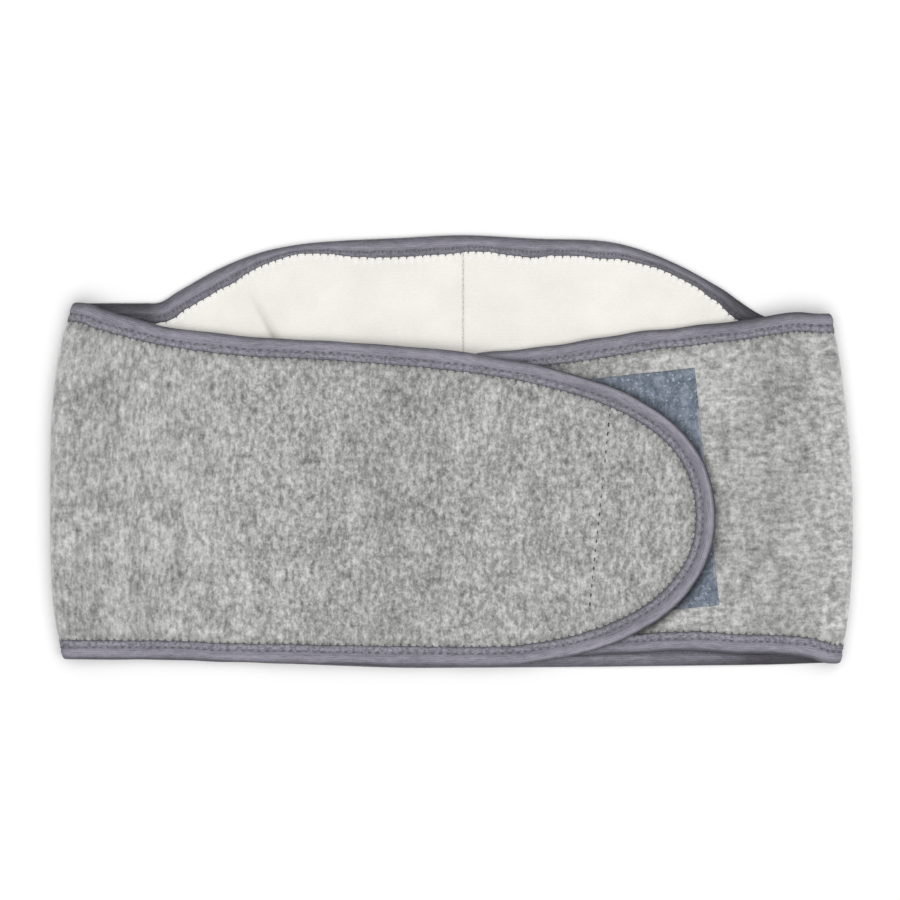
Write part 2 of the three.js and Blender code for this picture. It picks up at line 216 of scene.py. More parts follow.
class Pattern:
    """The belt's flat cut, its outline and the way it lies, in millimetres."""

    BACK_HEIGHT = 220.0
    HEM_BOW = 5.0
    HALF_LENGTH = 551.5
    END_LENGTH = 121.0
    TIP_HEIGHT = 77.0
    END_FALL = 0.145
    END_HANDLE = 0.56
    TIP_HANDLE = 0.64
    FOLD_RADIUS = 6.0
    HEM_FOLD_RADIUS = 5.0
    FOLD_MIDDLE = 0.42
    FOLD_CENTRE = 196.45
    PULL_RUN = 60.0
    FACE = 1.55
    SQUEEZED = 0.85
    PUFF_RUN = 4.5
    GAP = 0.3
    BINDING_WIDTH = 10.0
    BINDING_FACE = 1.85
    HEM_LINE = -110.0
    BACK_LEVEL = 1.85
    RIGHT_LEVEL = 5.85
    LEFT_LEVEL = 10.75
    HOOK_LIFT = 1.0
    END_DIP = 3.2
    DIP_RUN = 20.0
    LIFT_RUN = 14.0
    LIFT_MARGIN = 10.0
    HOOK_MIDDLE = (97.45, -32.3)
    HOOK_SIZE = (48.0, 100.0)
    PATCH_TILT = math.radians(6.0)
    STITCH_PITCH = 4.0
    OUTLINE_STEP = 0.5
    FIELD_STEP = 1.0
    SHORT_STEP = 0.05
    FLOOR_GAP = 0.02
    SWAY = 0.3
    SWAY_RUN = 50.0
    WAVER = 0.15
    WAVER_REACH = 34.0
    CURL_REACH = 13.0
    CURL_LEAD = 30.0
    CURL_RUN = 60.0
    SPLINE_STEPS = 40
    END_POINTS = 400
    SMOOTHED = 4
    LINE_FADE = 2.5
    FIELD_RUNS = (-560.0, 641.0)
    FIELD_HEIGHTS = (-126.0, 127.0)

    CREASE = ((-110.7, 84.6), (-97.0, 59.2))
    CREASE_DEPTH = 1.0
    HOOK_LINE_INSET = 1.6

    # Dents of the fronts: (x, y, half width, half height, depth)
    DENTS = (
        (-129.5, 37.0, 6.0, 17.0, 2.6),
        (-112.0, 8.0, 9.0, 22.0, 0.5),
        (-150.0, -20.0, 7.0, 40.0, 0.4),
        (-30.0, -60.0, 12.0, 26.0, 0.3),
    )
    # Where the left end's rim curls up: (y, half height, lift)
    CURLS = (
        (-76.0, 26.0, 2.6),
        (12.0, 28.0, 1.3),
    )
    # How strong the painted shadow beside and under that rim is: (y, half height, share)
    RIM_SHADOWS = (
        (-78.0, 32.0, 0.76),
        (8.0, 26.0, 0.3),
    )
    # Least share of that painted shadow anywhere along the rim
    LEAST_RIM_SHADOW = 0.2

    def __init__(self) -> None:
        """Draws the outline and measures how far each place is inside it."""
        self.sway_waves = Waves(21, 34.0, 90.0)
        self.edge_waves = Waves(8, 17.0, 52.0)
        self.straight_length = self.HALF_LENGTH - self.END_LENGTH
        self.tip_y = self.HEM_LINE + self.TIP_HEIGHT
        self.edges = {edge: self._edge(edge) for edge in Edge}
        self.border: dict[Edge, Array] = {}
        self._draw_outline()
        self._measure_field()

    def hem_at(self, bow: float) -> float:
        """The hem's height for a bow from 0 up."""
        return self.HEM_LINE + bow * self.HEM_BOW

    def _half_rows(self, half: Half) -> list[Triple]:
        """The points of one half's edges, from the seam outwards.

        Args:
            half: The half of the belt.

        Returns:
            Rows of (run, top, hem).
        """
        front_run = self.straight_length - half.fold_end
        heights = (half.front_height, half.side_height, self.BACK_HEIGHT)
        low, side, high = (self.HEM_LINE + height for height in heights)
        rows = [
            (half.back_run * along, lerp(side, high, up), self.hem_at(bow))
            for along, up, bow in half.back
        ]
        rows += [(run, side, self.hem_at(half.side_bow)) for run in (half.back_run, half.fold_end)]
        rows += [
            (half.fold_end + front_run * along, lerp(low, side, up), self.hem_at(bow))
            for along, up, bow in half.front
        ]
        rows.append((self.straight_length, low, self.hem_at(half.end_bow)))
        return [(half.sign * run, top, hem) for run, top, hem in rows]

    def _edge(self, edge: Edge) -> Array:
        """One long edge without its rounded ends.

        Args:
            edge: Which edge.

        Returns:
            A fine row of (run, y) from left to right.
        """
        rows = self._half_rows(LEFT)[::-1]
        rows += [(0.0, self.HEM_LINE + self.BACK_HEIGHT, self.HEM_LINE)]
        rows += self._half_rows(RIGHT)
        column = 1 if edge is Edge.TOP else 2
        points = np.array([(row[0], row[column]) for row in rows])
        return self._spline(points, self.SPLINE_STEPS)

    @staticmethod
    def _spline(points: Array, steps: int) -> Array:
        """A Catmull-Rom curve.

        Args:
            points: The points that it goes through.
            steps: How many pieces lie between two of them.

        Returns:
            The points of the curve.
        """
        ends = np.vstack([points[:1], points, points[-1:]])
        found = []
        t = np.arange(steps)[:, None] / steps
        for i in range(len(points) - 1):
            p0, p1, p2, p3 = ends[i : i + 4]
            v0, v1 = (p2 - p0) * 0.5, (p3 - p1) * 0.5
            cubic, square = 2 * p1 - 2 * p2 + v0 + v1, -3 * p1 + 3 * p2 - 2 * v0 - v1
            found.append(cubic * t**3 + square * t**2 + v0 * t + p1)
        return np.vstack([*found, points[-1:]])

    def end_curve(self, half: Half, edge: Edge, t: Array) -> Array:
        """Points of one quarter of a rounded end.

        Args:
            half: The half of the belt.
            edge: The edge that the quarter goes on with.
            t: Shares from the tip, 0, to the start of the rounding, 1.

        Returns:
            The (run, y) points.
        """
        upper = edge is Edge.TOP
        start_y = self.HEM_LINE + half.front_height if upper else self.hem_at(half.end_bow)
        start = np.array([half.sign * self.straight_length, start_y])
        tip = np.array([half.sign * self.HALF_LENGTH, self.tip_y])
        reach = self.END_HANDLE * self.END_LENGTH
        near_tip = np.array([tip[0], lerp(tip[1], start[1], self.TIP_HANDLE)])
        fall = self.END_FALL * reach if upper else 0.0
        near_start = np.array([start[0] + half.sign * reach, start[1] - fall])
        t = np.asarray(t)[:, None]
        u = 1 - t
        return tip * u**3 + near_tip * 3 * t * u**2 + near_start * 3 * t * t * u + start * t**3

    def _draw_outline(self) -> None:
        """Draws the outline counter-clockwise from the hidden right tip, with directions into the cloth."""
        fine = np.linspace(0, 1, self.END_POINTS)
        loop = np.vstack(
            [
                self.end_curve(RIGHT, Edge.TOP, fine)[:-1],
                self.edges[Edge.TOP][::-1][:-1],
                self.end_curve(LEFT, Edge.TOP, fine[::-1])[:-1],
                self.end_curve(LEFT, Edge.HEM, fine)[:-1],
                self.edges[Edge.HEM][:-1],
                self.end_curve(RIGHT, Edge.HEM, fine[::-1]),
            ]
        )
        along = np.concatenate([[0], np.cumsum(np.linalg.norm(np.diff(loop, axis=0), axis=1))])
        stitches = round(along[-1] / self.STITCH_PITCH)
        self.pitch = along[-1] / stitches
        self.length = along[-1]
        self.left_tip_at = along[len(fine) * 2 - 2 + len(self.edges[Edge.TOP]) - 1]
        count = stitches * round(self.STITCH_PITCH / self.OUTLINE_STEP)
        self.outline_s = np.arange(count) * along[-1] / count
        self.outline = np.stack([np.interp(self.outline_s, along, loop[:, k]) for k in (0, 1)], axis=1)
        tangent = np.roll(self.outline, -1, 0) - np.roll(self.outline, 1, 0)
        tangent = sum(np.roll(tangent, k, 0) for k in range(-self.SMOOTHED, self.SMOOTHED + 1))
        tangent /= np.linalg.norm(tangent, axis=1, keepdims=True)
        self.into = np.stack([-tangent[:, 1], tangent[:, 0]], axis=1)
        self.tree = kdtree.KDTree(count)
        for i, (x, y) in enumerate(self.outline):
            self.tree.insert((x, y, 0.0), i)
        self.tree.balance()

    def nearest(self, run: Array, y: Array) -> tuple[Array, Array]:
        """The nearest point of the outline.

        Args:
            run: Distance along the belt.
            y: Height across the belt.

        Returns:
            The unsigned distance to it and the length along the outline there.
        """
        distance = np.empty(run.size)
        index = np.empty(run.size, int)
        for k, (a, b) in enumerate(zip(run.ravel(), y.ravel())):
            _, index[k], distance[k] = self.tree.find((a, b, 0.0))
        return distance.reshape(run.shape), self.outline_s[index].reshape(run.shape)

    def _measure_field(self) -> None:
        """Signed distances inside the outline on an even grid."""
        self.field_x = np.arange(*self.FIELD_RUNS, self.FIELD_STEP)
        self.field_y = np.arange(*self.FIELD_HEIGHTS, self.FIELD_STEP)
        run, y = np.meshgrid(self.field_x, self.field_y, indexing="ij")
        distance, _ = self.nearest(run, y)
        outwards = np.linspace(0, 1, self.END_POINTS // 2)
        inwards = np.linspace(1, 0, self.END_POINTS // 2)
        for edge in Edge:
            left = self.end_curve(LEFT, edge, outwards)[:-1]
            right = self.end_curve(RIGHT, edge, inwards)[1:]
            self.border[edge] = np.vstack([left, self.edges[edge], right])
        top, hem = self.edge_at(Edge.TOP, run), self.edge_at(Edge.HEM, run)
        inside = (np.abs(run) < self.HALF_LENGTH) & (y < top) & (y > hem)
        self.field = np.where(inside, distance, -distance)

    def inset(self, run: Array, y: Array) -> Array:
        """How far inside the outline places are.

        Args:
            run: Distance along the belt.
            y: Height across the belt.

        Returns:
            The distances, less than nothing outside.
        """
        u = np.clip((run - self.field_x[0]) / self.FIELD_STEP, 0, len(self.field_x) - 1.001)
        v = np.clip((y - self.field_y[0]) / self.FIELD_STEP, 0, len(self.field_y) - 1.001)
        i, j = u.astype(int), v.astype(int)
        a, b = u - i, v - j
        f = self.field
        low = f[i, j] * (1 - a) + f[i + 1, j] * a
        high = f[i, j + 1] * (1 - a) + f[i + 1, j + 1] * a
        return low * (1 - b) + high * b

    @staticmethod
    def near_line(run: Array, y: Array, line: Line, width: float) -> Array:
        """1 on a line between two places of the pattern, fading to both sides and past its ends.

        Args:
            run: Distance along the belt.
            y: Height across the belt.
            line: The (run, y) ends of the line.
            width: How far it fades to the sides.

        Returns:
            The weight at each place.
        """
        (x0, y0), (x1, y1) = line
        length = math.hypot(x1 - x0, y1 - y0)
        along = ((run - x0) * (x1 - x0) + (y - y0) * (y1 - y0)) / length
        beside = ((run - x0) * (y1 - y0) - (y - y0) * (x1 - x0)) / length
        past = np.maximum(0, np.maximum(-along, along - length))
        return hump(beside, width) * hump(past, Pattern.LINE_FADE * width)

    def hook_line(self) -> Line:
        """The hook patch's sewing line that shows on the left front.

        Returns:
            Its (run, y) ends.
        """
        side, half_height = self.HOOK_SIZE[0] / 2 - self.HOOK_LINE_INSET, self.HOOK_SIZE[1] / 2
        start_run = -(LEFT.fold_end + self.FOLD_CENTRE) - self.HOOK_MIDDLE[0]
        c, s = math.cos(self.PATCH_TILT), math.sin(self.PATCH_TILT)
        ends = [
            (start_run + side * c - b * s, self.HOOK_MIDDLE[1] + side * s + b * c)
            for b in (-half_height, half_height)
        ]
        return ends[0], ends[1]

    def edge_at(self, edge: Edge, run: Array) -> Array:
        """The height of an edge at each run."""
        border = self.border[edge]
        return np.interp(run, border[:, 0], border[:, 1])

    def hook_weight(self, x: Array, y: Array) -> Array:
        """How much places lie over the hook patch.

        Args:
            x: Where the cloth lies across the picture.
            y: Where it lies up the picture.

        Returns:
            1 over the patch, falling to 0 around it.
        """
        dx, dy = x - self.HOOK_MIDDLE[0], y - self.HOOK_MIDDLE[1]
        c, s = math.cos(-self.PATCH_TILT), math.sin(-self.PATCH_TILT)
        a = np.maximum(0, np.abs(dx * c + dy * s) - self.HOOK_SIZE[0] / 2 - self.LIFT_MARGIN)
        b = np.maximum(0, np.abs(dy * c - dx * s) - self.HOOK_SIZE[1] / 2 - self.LIFT_MARGIN)
        return ease(1 - np.hypot(a, b) / self.LIFT_RUN)

    def _wrap(self, half: Half, out: Array, y: Array, rest: Array | float) -> Array:
        """Where the middle of the cloth of one half comes to lie.

        Args:
            half: The half of the belt.
            out: Distance from the seam.
            y: Height across the belt.
            rest: The level on which the front rests.

        Returns:
            Points as (x, y, z).
        """
        hem = self.hem_at(half.side_bow)
        across = np.clip((y - hem) / (self.HEM_LINE + half.side_height - hem), 0, 1)
        radius = lerp(self.FOLD_RADIUS, self.HEM_FOLD_RADIUS, np.abs(2 * across - 1) ** 3)
        turn = np.clip((out - half.back_run) / self.FOLD_RADIUS, 0, math.pi)
        past = np.maximum(0, out - half.fold_end)
        before = np.maximum(0, half.back_run - out)
        upper = np.clip((across - self.FOLD_MIDDLE) / (1 - self.FOLD_MIDDLE), 0, 1)
        lower = np.clip((self.FOLD_MIDDLE - across) / self.FOLD_MIDDLE, 0, 1)
        pull = half.top_pull * upper**half.top_power + half.hem_pull * lower**half.hem_power
        pulled = pull * ease(1 - (past + before) / self.PULL_RUN)
        x = half.sign * (self.FOLD_CENTRE - before - past + radius * np.sin(turn) - pulled)
        z = self.BACK_LEVEL + radius * (1 - np.cos(turn))
        z = np.where(past > 0, lerp(z, rest, ease(past / half.settle_run)), z)
        return np.stack([x, y + np.zeros_like(x), z], axis=-1)

    def _left_rest(self, x: Array, y: Array) -> Array:
        """The level on which the middle of the left front rests.

        Args:
            x: Where the cloth lies across the picture.
            y: Where it lies up the picture.

        Returns:
            The level at each place.
        """
        under = RIGHT.fold_end + self.FOLD_CENTRE - x
        beyond = -self.inset(under, y)
        rise = self._wrap(RIGHT, under, y, self.RIGHT_LEVEL)[..., 2] - self.RIGHT_LEVEL
        dip = self.END_DIP * ease(beyond / self.DIP_RUN)
        return self.LEFT_LEVEL + rise - dip + self.HOOK_LIFT * self.hook_weight(x, y)

    def laid(self, run: Array, y: Array) -> Array:
        """Where places of the pattern come to lie, at the middle of the cloth.

        Args:
            run: Distance along the belt.
            y: Height across the belt.

        Returns:
            Points as (x, y, z).
        """
        out = np.abs(run)
        flat = self._wrap(LEFT, out, y, 0.0)
        left = self._wrap(LEFT, out, y, self._left_rest(flat[..., 0], y))
        right = self._wrap(RIGHT, out, y, self.RIGHT_LEVEL)
        return np.where((run < 0)[..., None], left, right)

    def rim_shadow(self, x: Array, y: Array) -> dict[str, Array]:
        """Marks of the cloth under the left end: the distance beyond its rim, and the share of painted shadow
        beside that rim.

        Args:
            x: Where the cloth lies across the picture.
            y: Where it lies up the picture.

        Returns:
            The named values of the places.
        """
        beyond = -self.inset(-(LEFT.fold_end + self.FOLD_CENTRE) - x, y)
        share = sum(bell(y, row) for row in self.RIM_SHADOWS)
        return {"rim": beyond.ravel(), "rim_shadow": (self.LEAST_RIM_SHADOW + share).ravel()}

    def puff(self, inset: Array) -> Array:
        """0 under the binding and 1 where the cloth has its full thickness."""
        return ease((inset - self.BINDING_WIDTH - self.GAP) / self.PUFF_RUN)

    def place(self, run: Array, y: Array, h: Array, inset: Array) -> Array:
        """Where places of the cloth come to lie.

        Args:
            run: Distance along the belt.
            y: Height across the belt.
            h: Height through the cloth, from its middle towards the lining.
            inset: Distance inside the outline.

        Returns:
            Points as (x, y, z).
        """
        run, y, h, inset = np.broadcast_arrays(*(np.asarray(a, float) for a in (run, y, h, inset)))
        step = self.SHORT_STEP
        point = self.laid(run, y)
        point = point + self._drape(run, y, point)
        normal = np.cross(
            self.laid(run + step, y) - self.laid(run - step, y),
            self.laid(run, y + step) - self.laid(run, y - step),
        )
        normal /= np.linalg.norm(normal, axis=-1, keepdims=True)
        back_run = np.where(run < 0, LEFT.back_run, RIGHT.back_run)
        on_back = ease((back_run - np.abs(run)) / self.LIFT_RUN)
        point[..., 2] -= (self.BINDING_FACE - self.FACE) * self.puff(inset) * on_back
        found = point + normal * h[..., None]
        found[..., 2] = np.maximum(found[..., 2], self.FLOOR_GAP)
        return found

    def _drape(self, run: Array, y: Array, point: Array) -> Array:
        """Small shifts of the fronts: undulation, dents, wavering edges and the curled rim of the left end.

        Args:
            run: Distance along the belt.
            y: Height across the belt.
            point: Where the middle of the cloth lies.

        Returns:
            The shifts as (x, y, z).
        """
        x = point[..., 0]
        inset = self.inset(run, y)
        past = np.abs(run) - np.where(run < 0, LEFT.fold_end, RIGHT.fold_end)
        free = ease(past / self.SWAY_RUN)
        up = self.SWAY * self.sway_waves.at(x, y)
        for dent_x, dent_y, wide, high, depth in self.DENTS:
            up = up - depth * hump(x - dent_x, wide) * hump(y - dent_y, high)
        up = up * free
        curl = sum(bell(y, row) for row in self.CURLS)
        end = ease((-run - self.straight_length + self.CURL_LEAD) / self.CURL_RUN)
        up = up + curl * end * ease(1 - inset / self.CURL_REACH)
        aside = self.WAVER * self.edge_waves.at(run, y) * free * ease(1 - inset / self.WAVER_REACH)
        return np.stack([np.zeros_like(up), aside, up], axis=-1)


def make_mesh(name: str, points: Array, faces: Array, uv: Array, **marks: Array) -> bpy.types.Object:
    """A smooth mesh object at the origin.

    Args:
        name: Name of the piece.
        points: Its vertices in millimetres.
        faces: Corner indices, one row for each face.
        uv: Pattern coordinates of the vertices in millimetres.
        **marks: Named values of the vertices, which the finishes read.

    Returns:
        The new object, linked to the scene.
    """
    mesh = bpy.data.meshes.new(name)
    mesh.from_pydata((points * MM).tolist(), [], faces.tolist())
    layer = mesh.uv_layers.new(name="pattern")
    corners = np.empty(len(mesh.loops), int)
    mesh.loops.foreach_get("vertex_index", corners)
    layer.data.foreach_set("uv", (uv[corners] * MM).astype(np.float32).ravel())
    for label, values in marks.items():
        mesh.attributes.new(label, "FLOAT", "POINT").data.foreach_set("value", values.astype(np.float32))
    mesh.polygons.foreach_set("use_smooth", np.ones(len(mesh.polygons), bool))
    mesh.validate()
    piece = bpy.data.objects.new(name, mesh)
    bpy.context.scene.collection.objects.link(piece)
    return piece


def grid_faces(columns: int, rows: int) -> Array:
    """The quads of a closed shell between two faces of a grid, whose vertices run by column, row and face.

    Args:
        columns: Number of columns.
        rows: Number of rows.

    Returns:
        The corner indices, facing out.
    """
    at = np.arange(columns * rows * 2).reshape(columns, rows, 2)
    a, b, c, d = at[:-1, :-1], at[1:, :-1], at[1:, 1:], at[:-1, 1:]
    quads = [
        np.stack([a[..., 1], b[..., 1], c[..., 1], d[..., 1]], -1),
        np.stack([a[..., 0], d[..., 0], c[..., 0], b[..., 0]], -1),
    ]
    low, high, left, right = at[:, 0], at[:, -1], at[0], at[-1]
    quads += [
        np.stack([low[:-1, 0], low[1:, 0], low[1:, 1], low[:-1, 1]], -1),
        np.stack([high[:-1, 1], high[1:, 1], high[1:, 0], high[:-1, 0]], -1),
        np.stack([left[:-1, 0], left[:-1, 1], left[1:, 1], left[1:, 0]], -1),
        np.stack([right[:-1, 0], right[1:, 0], right[1:, 1], right[:-1, 1]], -1),
    ]
    return np.vstack([q.reshape(-1, 4) for q in quads])


class Nodes:
    """Adds and joins the nodes of one shader tree."""

    def __init__(self, tree: bpy.types.NodeTree) -> None:
        """Takes the tree to work on."""
        self.tree = tree

    def add(self, kind: str, settings: dict | None = None, **inputs: object) -> bpy.types.Node:
        """Adds a node.

        Args:
            kind: The node's type, such as ShaderNodeMath.
            settings: Properties of the node.
            **inputs: Values or sockets for its inputs, named with underscores for spaces or as `_0`, `_1`.

        Returns:
            The node.
        """
        node = self.tree.nodes.new(kind)
        for name, value in (settings or {}).items():
            setattr(node, name, value)
        for name, value in inputs.items():
            key = int(name[1:]) if name[0] == "_" else name.replace("_", " ")
            socket = node.inputs[key]
            if isinstance(value, Socket):
                self.tree.links.new(value, socket)
            else:
                socket.default_value = value
        return node

    def math(self, operation: str, *values: object) -> Socket:
        """The result of a Math node on values or sockets."""
        inputs = {f"_{k}": value for k, value in enumerate(values)}
        return self.add("ShaderNodeMath", {"operation": operation}, **inputs).outputs[0]

    def vector(self, operation: str, **inputs: object) -> Socket:
        """The result of a Vector Math node on colours or vectors."""
        return self.add("ShaderNodeVectorMath", {"operation": operation}, **inputs).outputs[0]

    def mix(self, share: object, a: object, b: object) -> Socket:
        """A colour a share of the way from `a` to `b`."""
        node = self.add("ShaderNodeMix", {"data_type": "RGBA"}, _0=share, _6=a, _7=b)
        return node.outputs[2]

    def ramp(self, value: object, stops: list[tuple[float, Colour]]) -> Socket:
        """A colour ramp.

        Args:
            value: The value or socket that it reads.
            stops: Its rows of (place, colour).

        Returns:
            The colour.
        """
        node = self.add("ShaderNodeValToRGB", Fac=value)
        elements = node.color_ramp.elements
        while len(elements) < len(stops):
            elements.new(0.5)
        for element, (place, colour) in zip(elements, stops):
            element.position = place
            element.color = colour
        return node.outputs[0]


def srgb(*display: float) -> Colour:
    """A linear colour from three display values of 0 to 255."""
    linear = [c / 255 / 12.92 if c <= 10.31 else ((c / 255 + 0.055) / 1.055) ** 2.4 for c in display]
    return (*linear, 1.0)


class Effects:
    """Shader groups that several finishes use."""

    def __init__(self) -> None:
        """Builds each group once."""
        self.streaks = self._streaks()
        self.ribs = self._ribs()

    @staticmethod
    def _group(name: str, inputs: tuple[str, ...]) -> tuple[bpy.types.NodeTree, Nodes, bpy.types.Node]:
        """A new group with a Vector and float inputs and one Value output.

        Args:
            name: Its name.
            inputs: Names of its float inputs.

        Returns:
            The group, what adds its nodes, and its input node.
        """
        tree = bpy.data.node_groups.new(name, "ShaderNodeTree")
        tree.interface.new_socket("Vector", in_out="INPUT", socket_type="NodeSocketVector")
        for label in inputs:
            tree.interface.new_socket(label, in_out="INPUT", socket_type="NodeSocketFloat")
        tree.interface.new_socket("Value", in_out="OUTPUT", socket_type="NodeSocketFloat")
        nodes = Nodes(tree)
        return tree, nodes, nodes.add("NodeGroupInput")

    def _streaks(self) -> bpy.types.NodeTree:
        """Fibres or blobs of a given width and length.

        Returns:
            The group, which puts out a value around 0.5.
        """
        tree, nodes, given = self._group("Streaks", ("Width", "Length", "Detail", "Twist"))
        parts = nodes.add("ShaderNodeSeparateXYZ", Vector=given.outputs["Vector"])
        x = nodes.math("DIVIDE", parts.outputs[0], given.outputs["Width"])
        y = nodes.math("DIVIDE", parts.outputs[1], given.outputs["Length"])
        where = nodes.add("ShaderNodeCombineXYZ", X=x, Y=y, Z=0.0)
        noise = nodes.add(
            "ShaderNodeTexNoise",
            {"noise_dimensions": "2D"},
            Vector=where.outputs[0],
            Scale=1.0,
            Detail=given.outputs["Detail"],
            Roughness=0.6,
            Distortion=given.outputs["Twist"],
        )
        nodes.add("NodeGroupOutput", _0=noise.outputs["Fac"])
        return tree

    def _ribs(self) -> bpy.types.NodeTree:
        """Parallel ribs across the vector's Y, a little uneven.

        Returns:
            The group, which puts out a value from 0 to 1.
        """
        tree, nodes, given = self._group("Ribs", ("Pitch", "Waver"))
        parts = nodes.add("ShaderNodeSeparateXYZ", Vector=given.outputs["Vector"])
        noise = nodes.add(
            "ShaderNodeTexNoise",
            {"noise_dimensions": "2D"},
            Vector=given.outputs["Vector"],
            Scale=220.0,
            Detail=2.0,
        )
        centred = nodes.math("SUBTRACT", noise.outputs["Fac"], 0.5)
        shift = nodes.math("MULTIPLY", centred, given.outputs["Waver"])
        turns = nodes.math("ADD", nodes.math("DIVIDE", parts.outputs[1], given.outputs["Pitch"]), shift)
        wave = nodes.math("SINE", nodes.math("MULTIPLY", turns, math.tau))
        nodes.add("NodeGroupOutput", _0=nodes.math("MULTIPLY_ADD", wave, 0.5, 0.5))
        return tree


@dataclass(frozen=True)
class Look:
    """The colour and the height of a finish as sockets, and the depth of its relief in millimetres."""

    colour: Socket
    height: Socket
    depth: float


@dataclass(frozen=True)
class Bench:
    """What a finish is mixed with: its tree, the shared effects and the place in the pattern."""

    nodes: Nodes
    effects: Effects
    where: Socket

    def streaks(self, width: float, length: float, detail: float = 2.0, twist: float = 0.0) -> Socket:
        """Streaks or blobs.

        Args:
            width: Their width in millimetres.
            length: Their length in millimetres.
            detail: How much finer grain they hold.
            twist: How much they are distorted.

        Returns:
            A value around 0.5.
        """
        return self.nodes.add(
            "ShaderNodeGroup",
            {"node_tree": self.effects.streaks},
            Vector=self.where,
            Width=width * MM,
            Length=length * MM,
            Detail=detail,
            Twist=twist,
        ).outputs[0]

    def ribs(self, pitch: float, waver: float) -> Socket:
        """Ribs with a pitch in millimetres, as a value from 0 to 1."""
        given = {"Vector": self.where, "Pitch": pitch * MM, "Waver": waver}
        return self.nodes.add("ShaderNodeGroup", {"node_tree": self.effects.ribs}, **given).outputs[0]

    def times(self, a: object, b: object) -> Socket:
        """The product of two values."""
        return self.nodes.math("MULTIPLY", a, b)

    def less(self, a: object, b: object) -> Socket:
        """What is left of `a` without `b`."""
        return self.nodes.math("SUBTRACT", a, b)

    def size(self, value: Socket) -> Socket:
        """A value without its sign."""
        return self.nodes.math("ABSOLUTE", value)

    def blend(self, share: Socket, a: Socket, b: Socket) -> Socket:
        """A value a share of the way from `a` to `b`."""
        return self.nodes.add("ShaderNodeMix", _0=share, _2=a, _3=b).outputs[0]

    def sum(self, *parts: tuple[float, Socket]) -> Socket:
        """A weighted sum.

        Args:
            *parts: Values, each given as (share, value).

        Returns:
            The sum.
        """
        total = None
        for share, value in parts:
            scaled = self.times(value, share)
            total = scaled if total is None else self.nodes.math("ADD", total, scaled)
        return total

    def _place(self, index: int) -> Socket:
        """One of the pattern's coordinates in millimetres."""
        parts = self.nodes.add("ShaderNodeSeparateXYZ", Vector=self.where)
        return self.times(parts.outputs[index], 1 / MM)

    def along(self) -> Socket:
        """The pattern's first coordinate."""
        return self._place(0)

    def across(self) -> Socket:
        """The pattern's second coordinate."""
        return self._place(1)

    def step(self, value: Socket, low: float, high: float) -> Socket:
        """A soft step of a value, 0 at `low` and 1 at `high`."""
        soft = {"interpolation_type": "SMOOTHSTEP"}
        return self.nodes.add("ShaderNodeMapRange", soft, Value=value, From_Min=low, From_Max=high).outputs[0]

    def line(self, run: float, y: float, start: float) -> Socket:
        """A sum of the place along the belt and the place up it, each with its own weight, and a start."""
        return self.nodes.math("ADD", self.sum((run, self.along()), (y, self.across())), start)

    def mark(self, label: str) -> Socket:
        """A named value of the mesh."""
        return self.nodes.add("ShaderNodeAttribute", {"attribute_name": label}).outputs["Fac"]

    def level(self, value: Socket, rows: Rows) -> Socket:
        """A level read from a table of (value, level), for levels from 0 to 1.

        Args:
            value: Where to read the table.
            rows: The table, with rising values.

        Returns:
            The level.
        """
        low, high = rows[0][0], rows[-1][0]
        share = self.nodes.add("ShaderNodeMapRange", Value=value, From_Min=low, From_Max=high).outputs[0]
        stops = [((place - low) / (high - low), (level, level, level, 1.0)) for place, level in rows]
        return self.nodes.ramp(share, stops)

    def scale(self, colour: Socket, level: Socket) -> Socket:
        """A colour at a level of itself."""
        return self.nodes.vector("MULTIPLY", _0=colour, _1=level)

    def dim(self, colour: Socket, mask: Socket, level: float) -> Socket:
        """A colour taken down to a share of itself where the mask is 1."""
        return self.nodes.mix(mask, colour, self.nodes.vector("SCALE", _0=colour, Scale=level))

    def shade_under_rim(self, colour: Socket) -> Socket:
        """A colour with a painted shadow beside the rim of the left end, strongest where that rim lifts off
        the cloth.

        Args:
            colour: The cloth's colour.

        Returns:
            The shaded colour.
        """
        # Painted shadow by distance beyond the rim: darkest at the rim, gone about 6 mm out and 8 mm under it
        rows = ((-8.0, 0.0), (-0.5, 1.0), (0.9, 0.96), (2.0, 0.68), (3.7, 0.25), (5.9, 0.0))
        near = self.level(self.mark("rim"), rows)
        return self.dim(colour, self.times(near, self.mark("rim_shadow")), 0.12)


@dataclass(frozen=True)
class Finish:
    """A cloth finish. Subclasses add its colour and its relief."""

    name: str
    roughness: float = 0.95
    sheen: float = 0.0
    specular: float = 0.15

    def material(self, effects: Effects) -> bpy.types.Material:
        """Builds the material.

        Args:
            effects: The shared shader groups.

        Returns:
            The material, with its colour and normal linked.
        """
        made = bpy.data.materials.new(self.name)
        made.use_nodes = True
        made.node_tree.nodes.clear()
        nodes = Nodes(made.node_tree)
        where = nodes.add("ShaderNodeUVMap", {"uv_map": "pattern"}).outputs[0]
        look = self.look(Bench(nodes, effects, where))
        bump = nodes.add("ShaderNodeBump", Strength=1.0, Distance=look.depth * MM, Height=look.height)
        shader = nodes.add(
            "ShaderNodeBsdfPrincipled",
            Base_Color=look.colour,
            Roughness=self.roughness,
            Sheen_Weight=self.sheen,
            Specular_IOR_Level=self.specular,
            Normal=bump.outputs[0],
        )
        nodes.add("ShaderNodeOutputMaterial", Surface=shader.outputs[0])
        return made

    def look(self, bench: Bench) -> Look:
        """The finish's colour and relief."""
        raise NotImplementedError


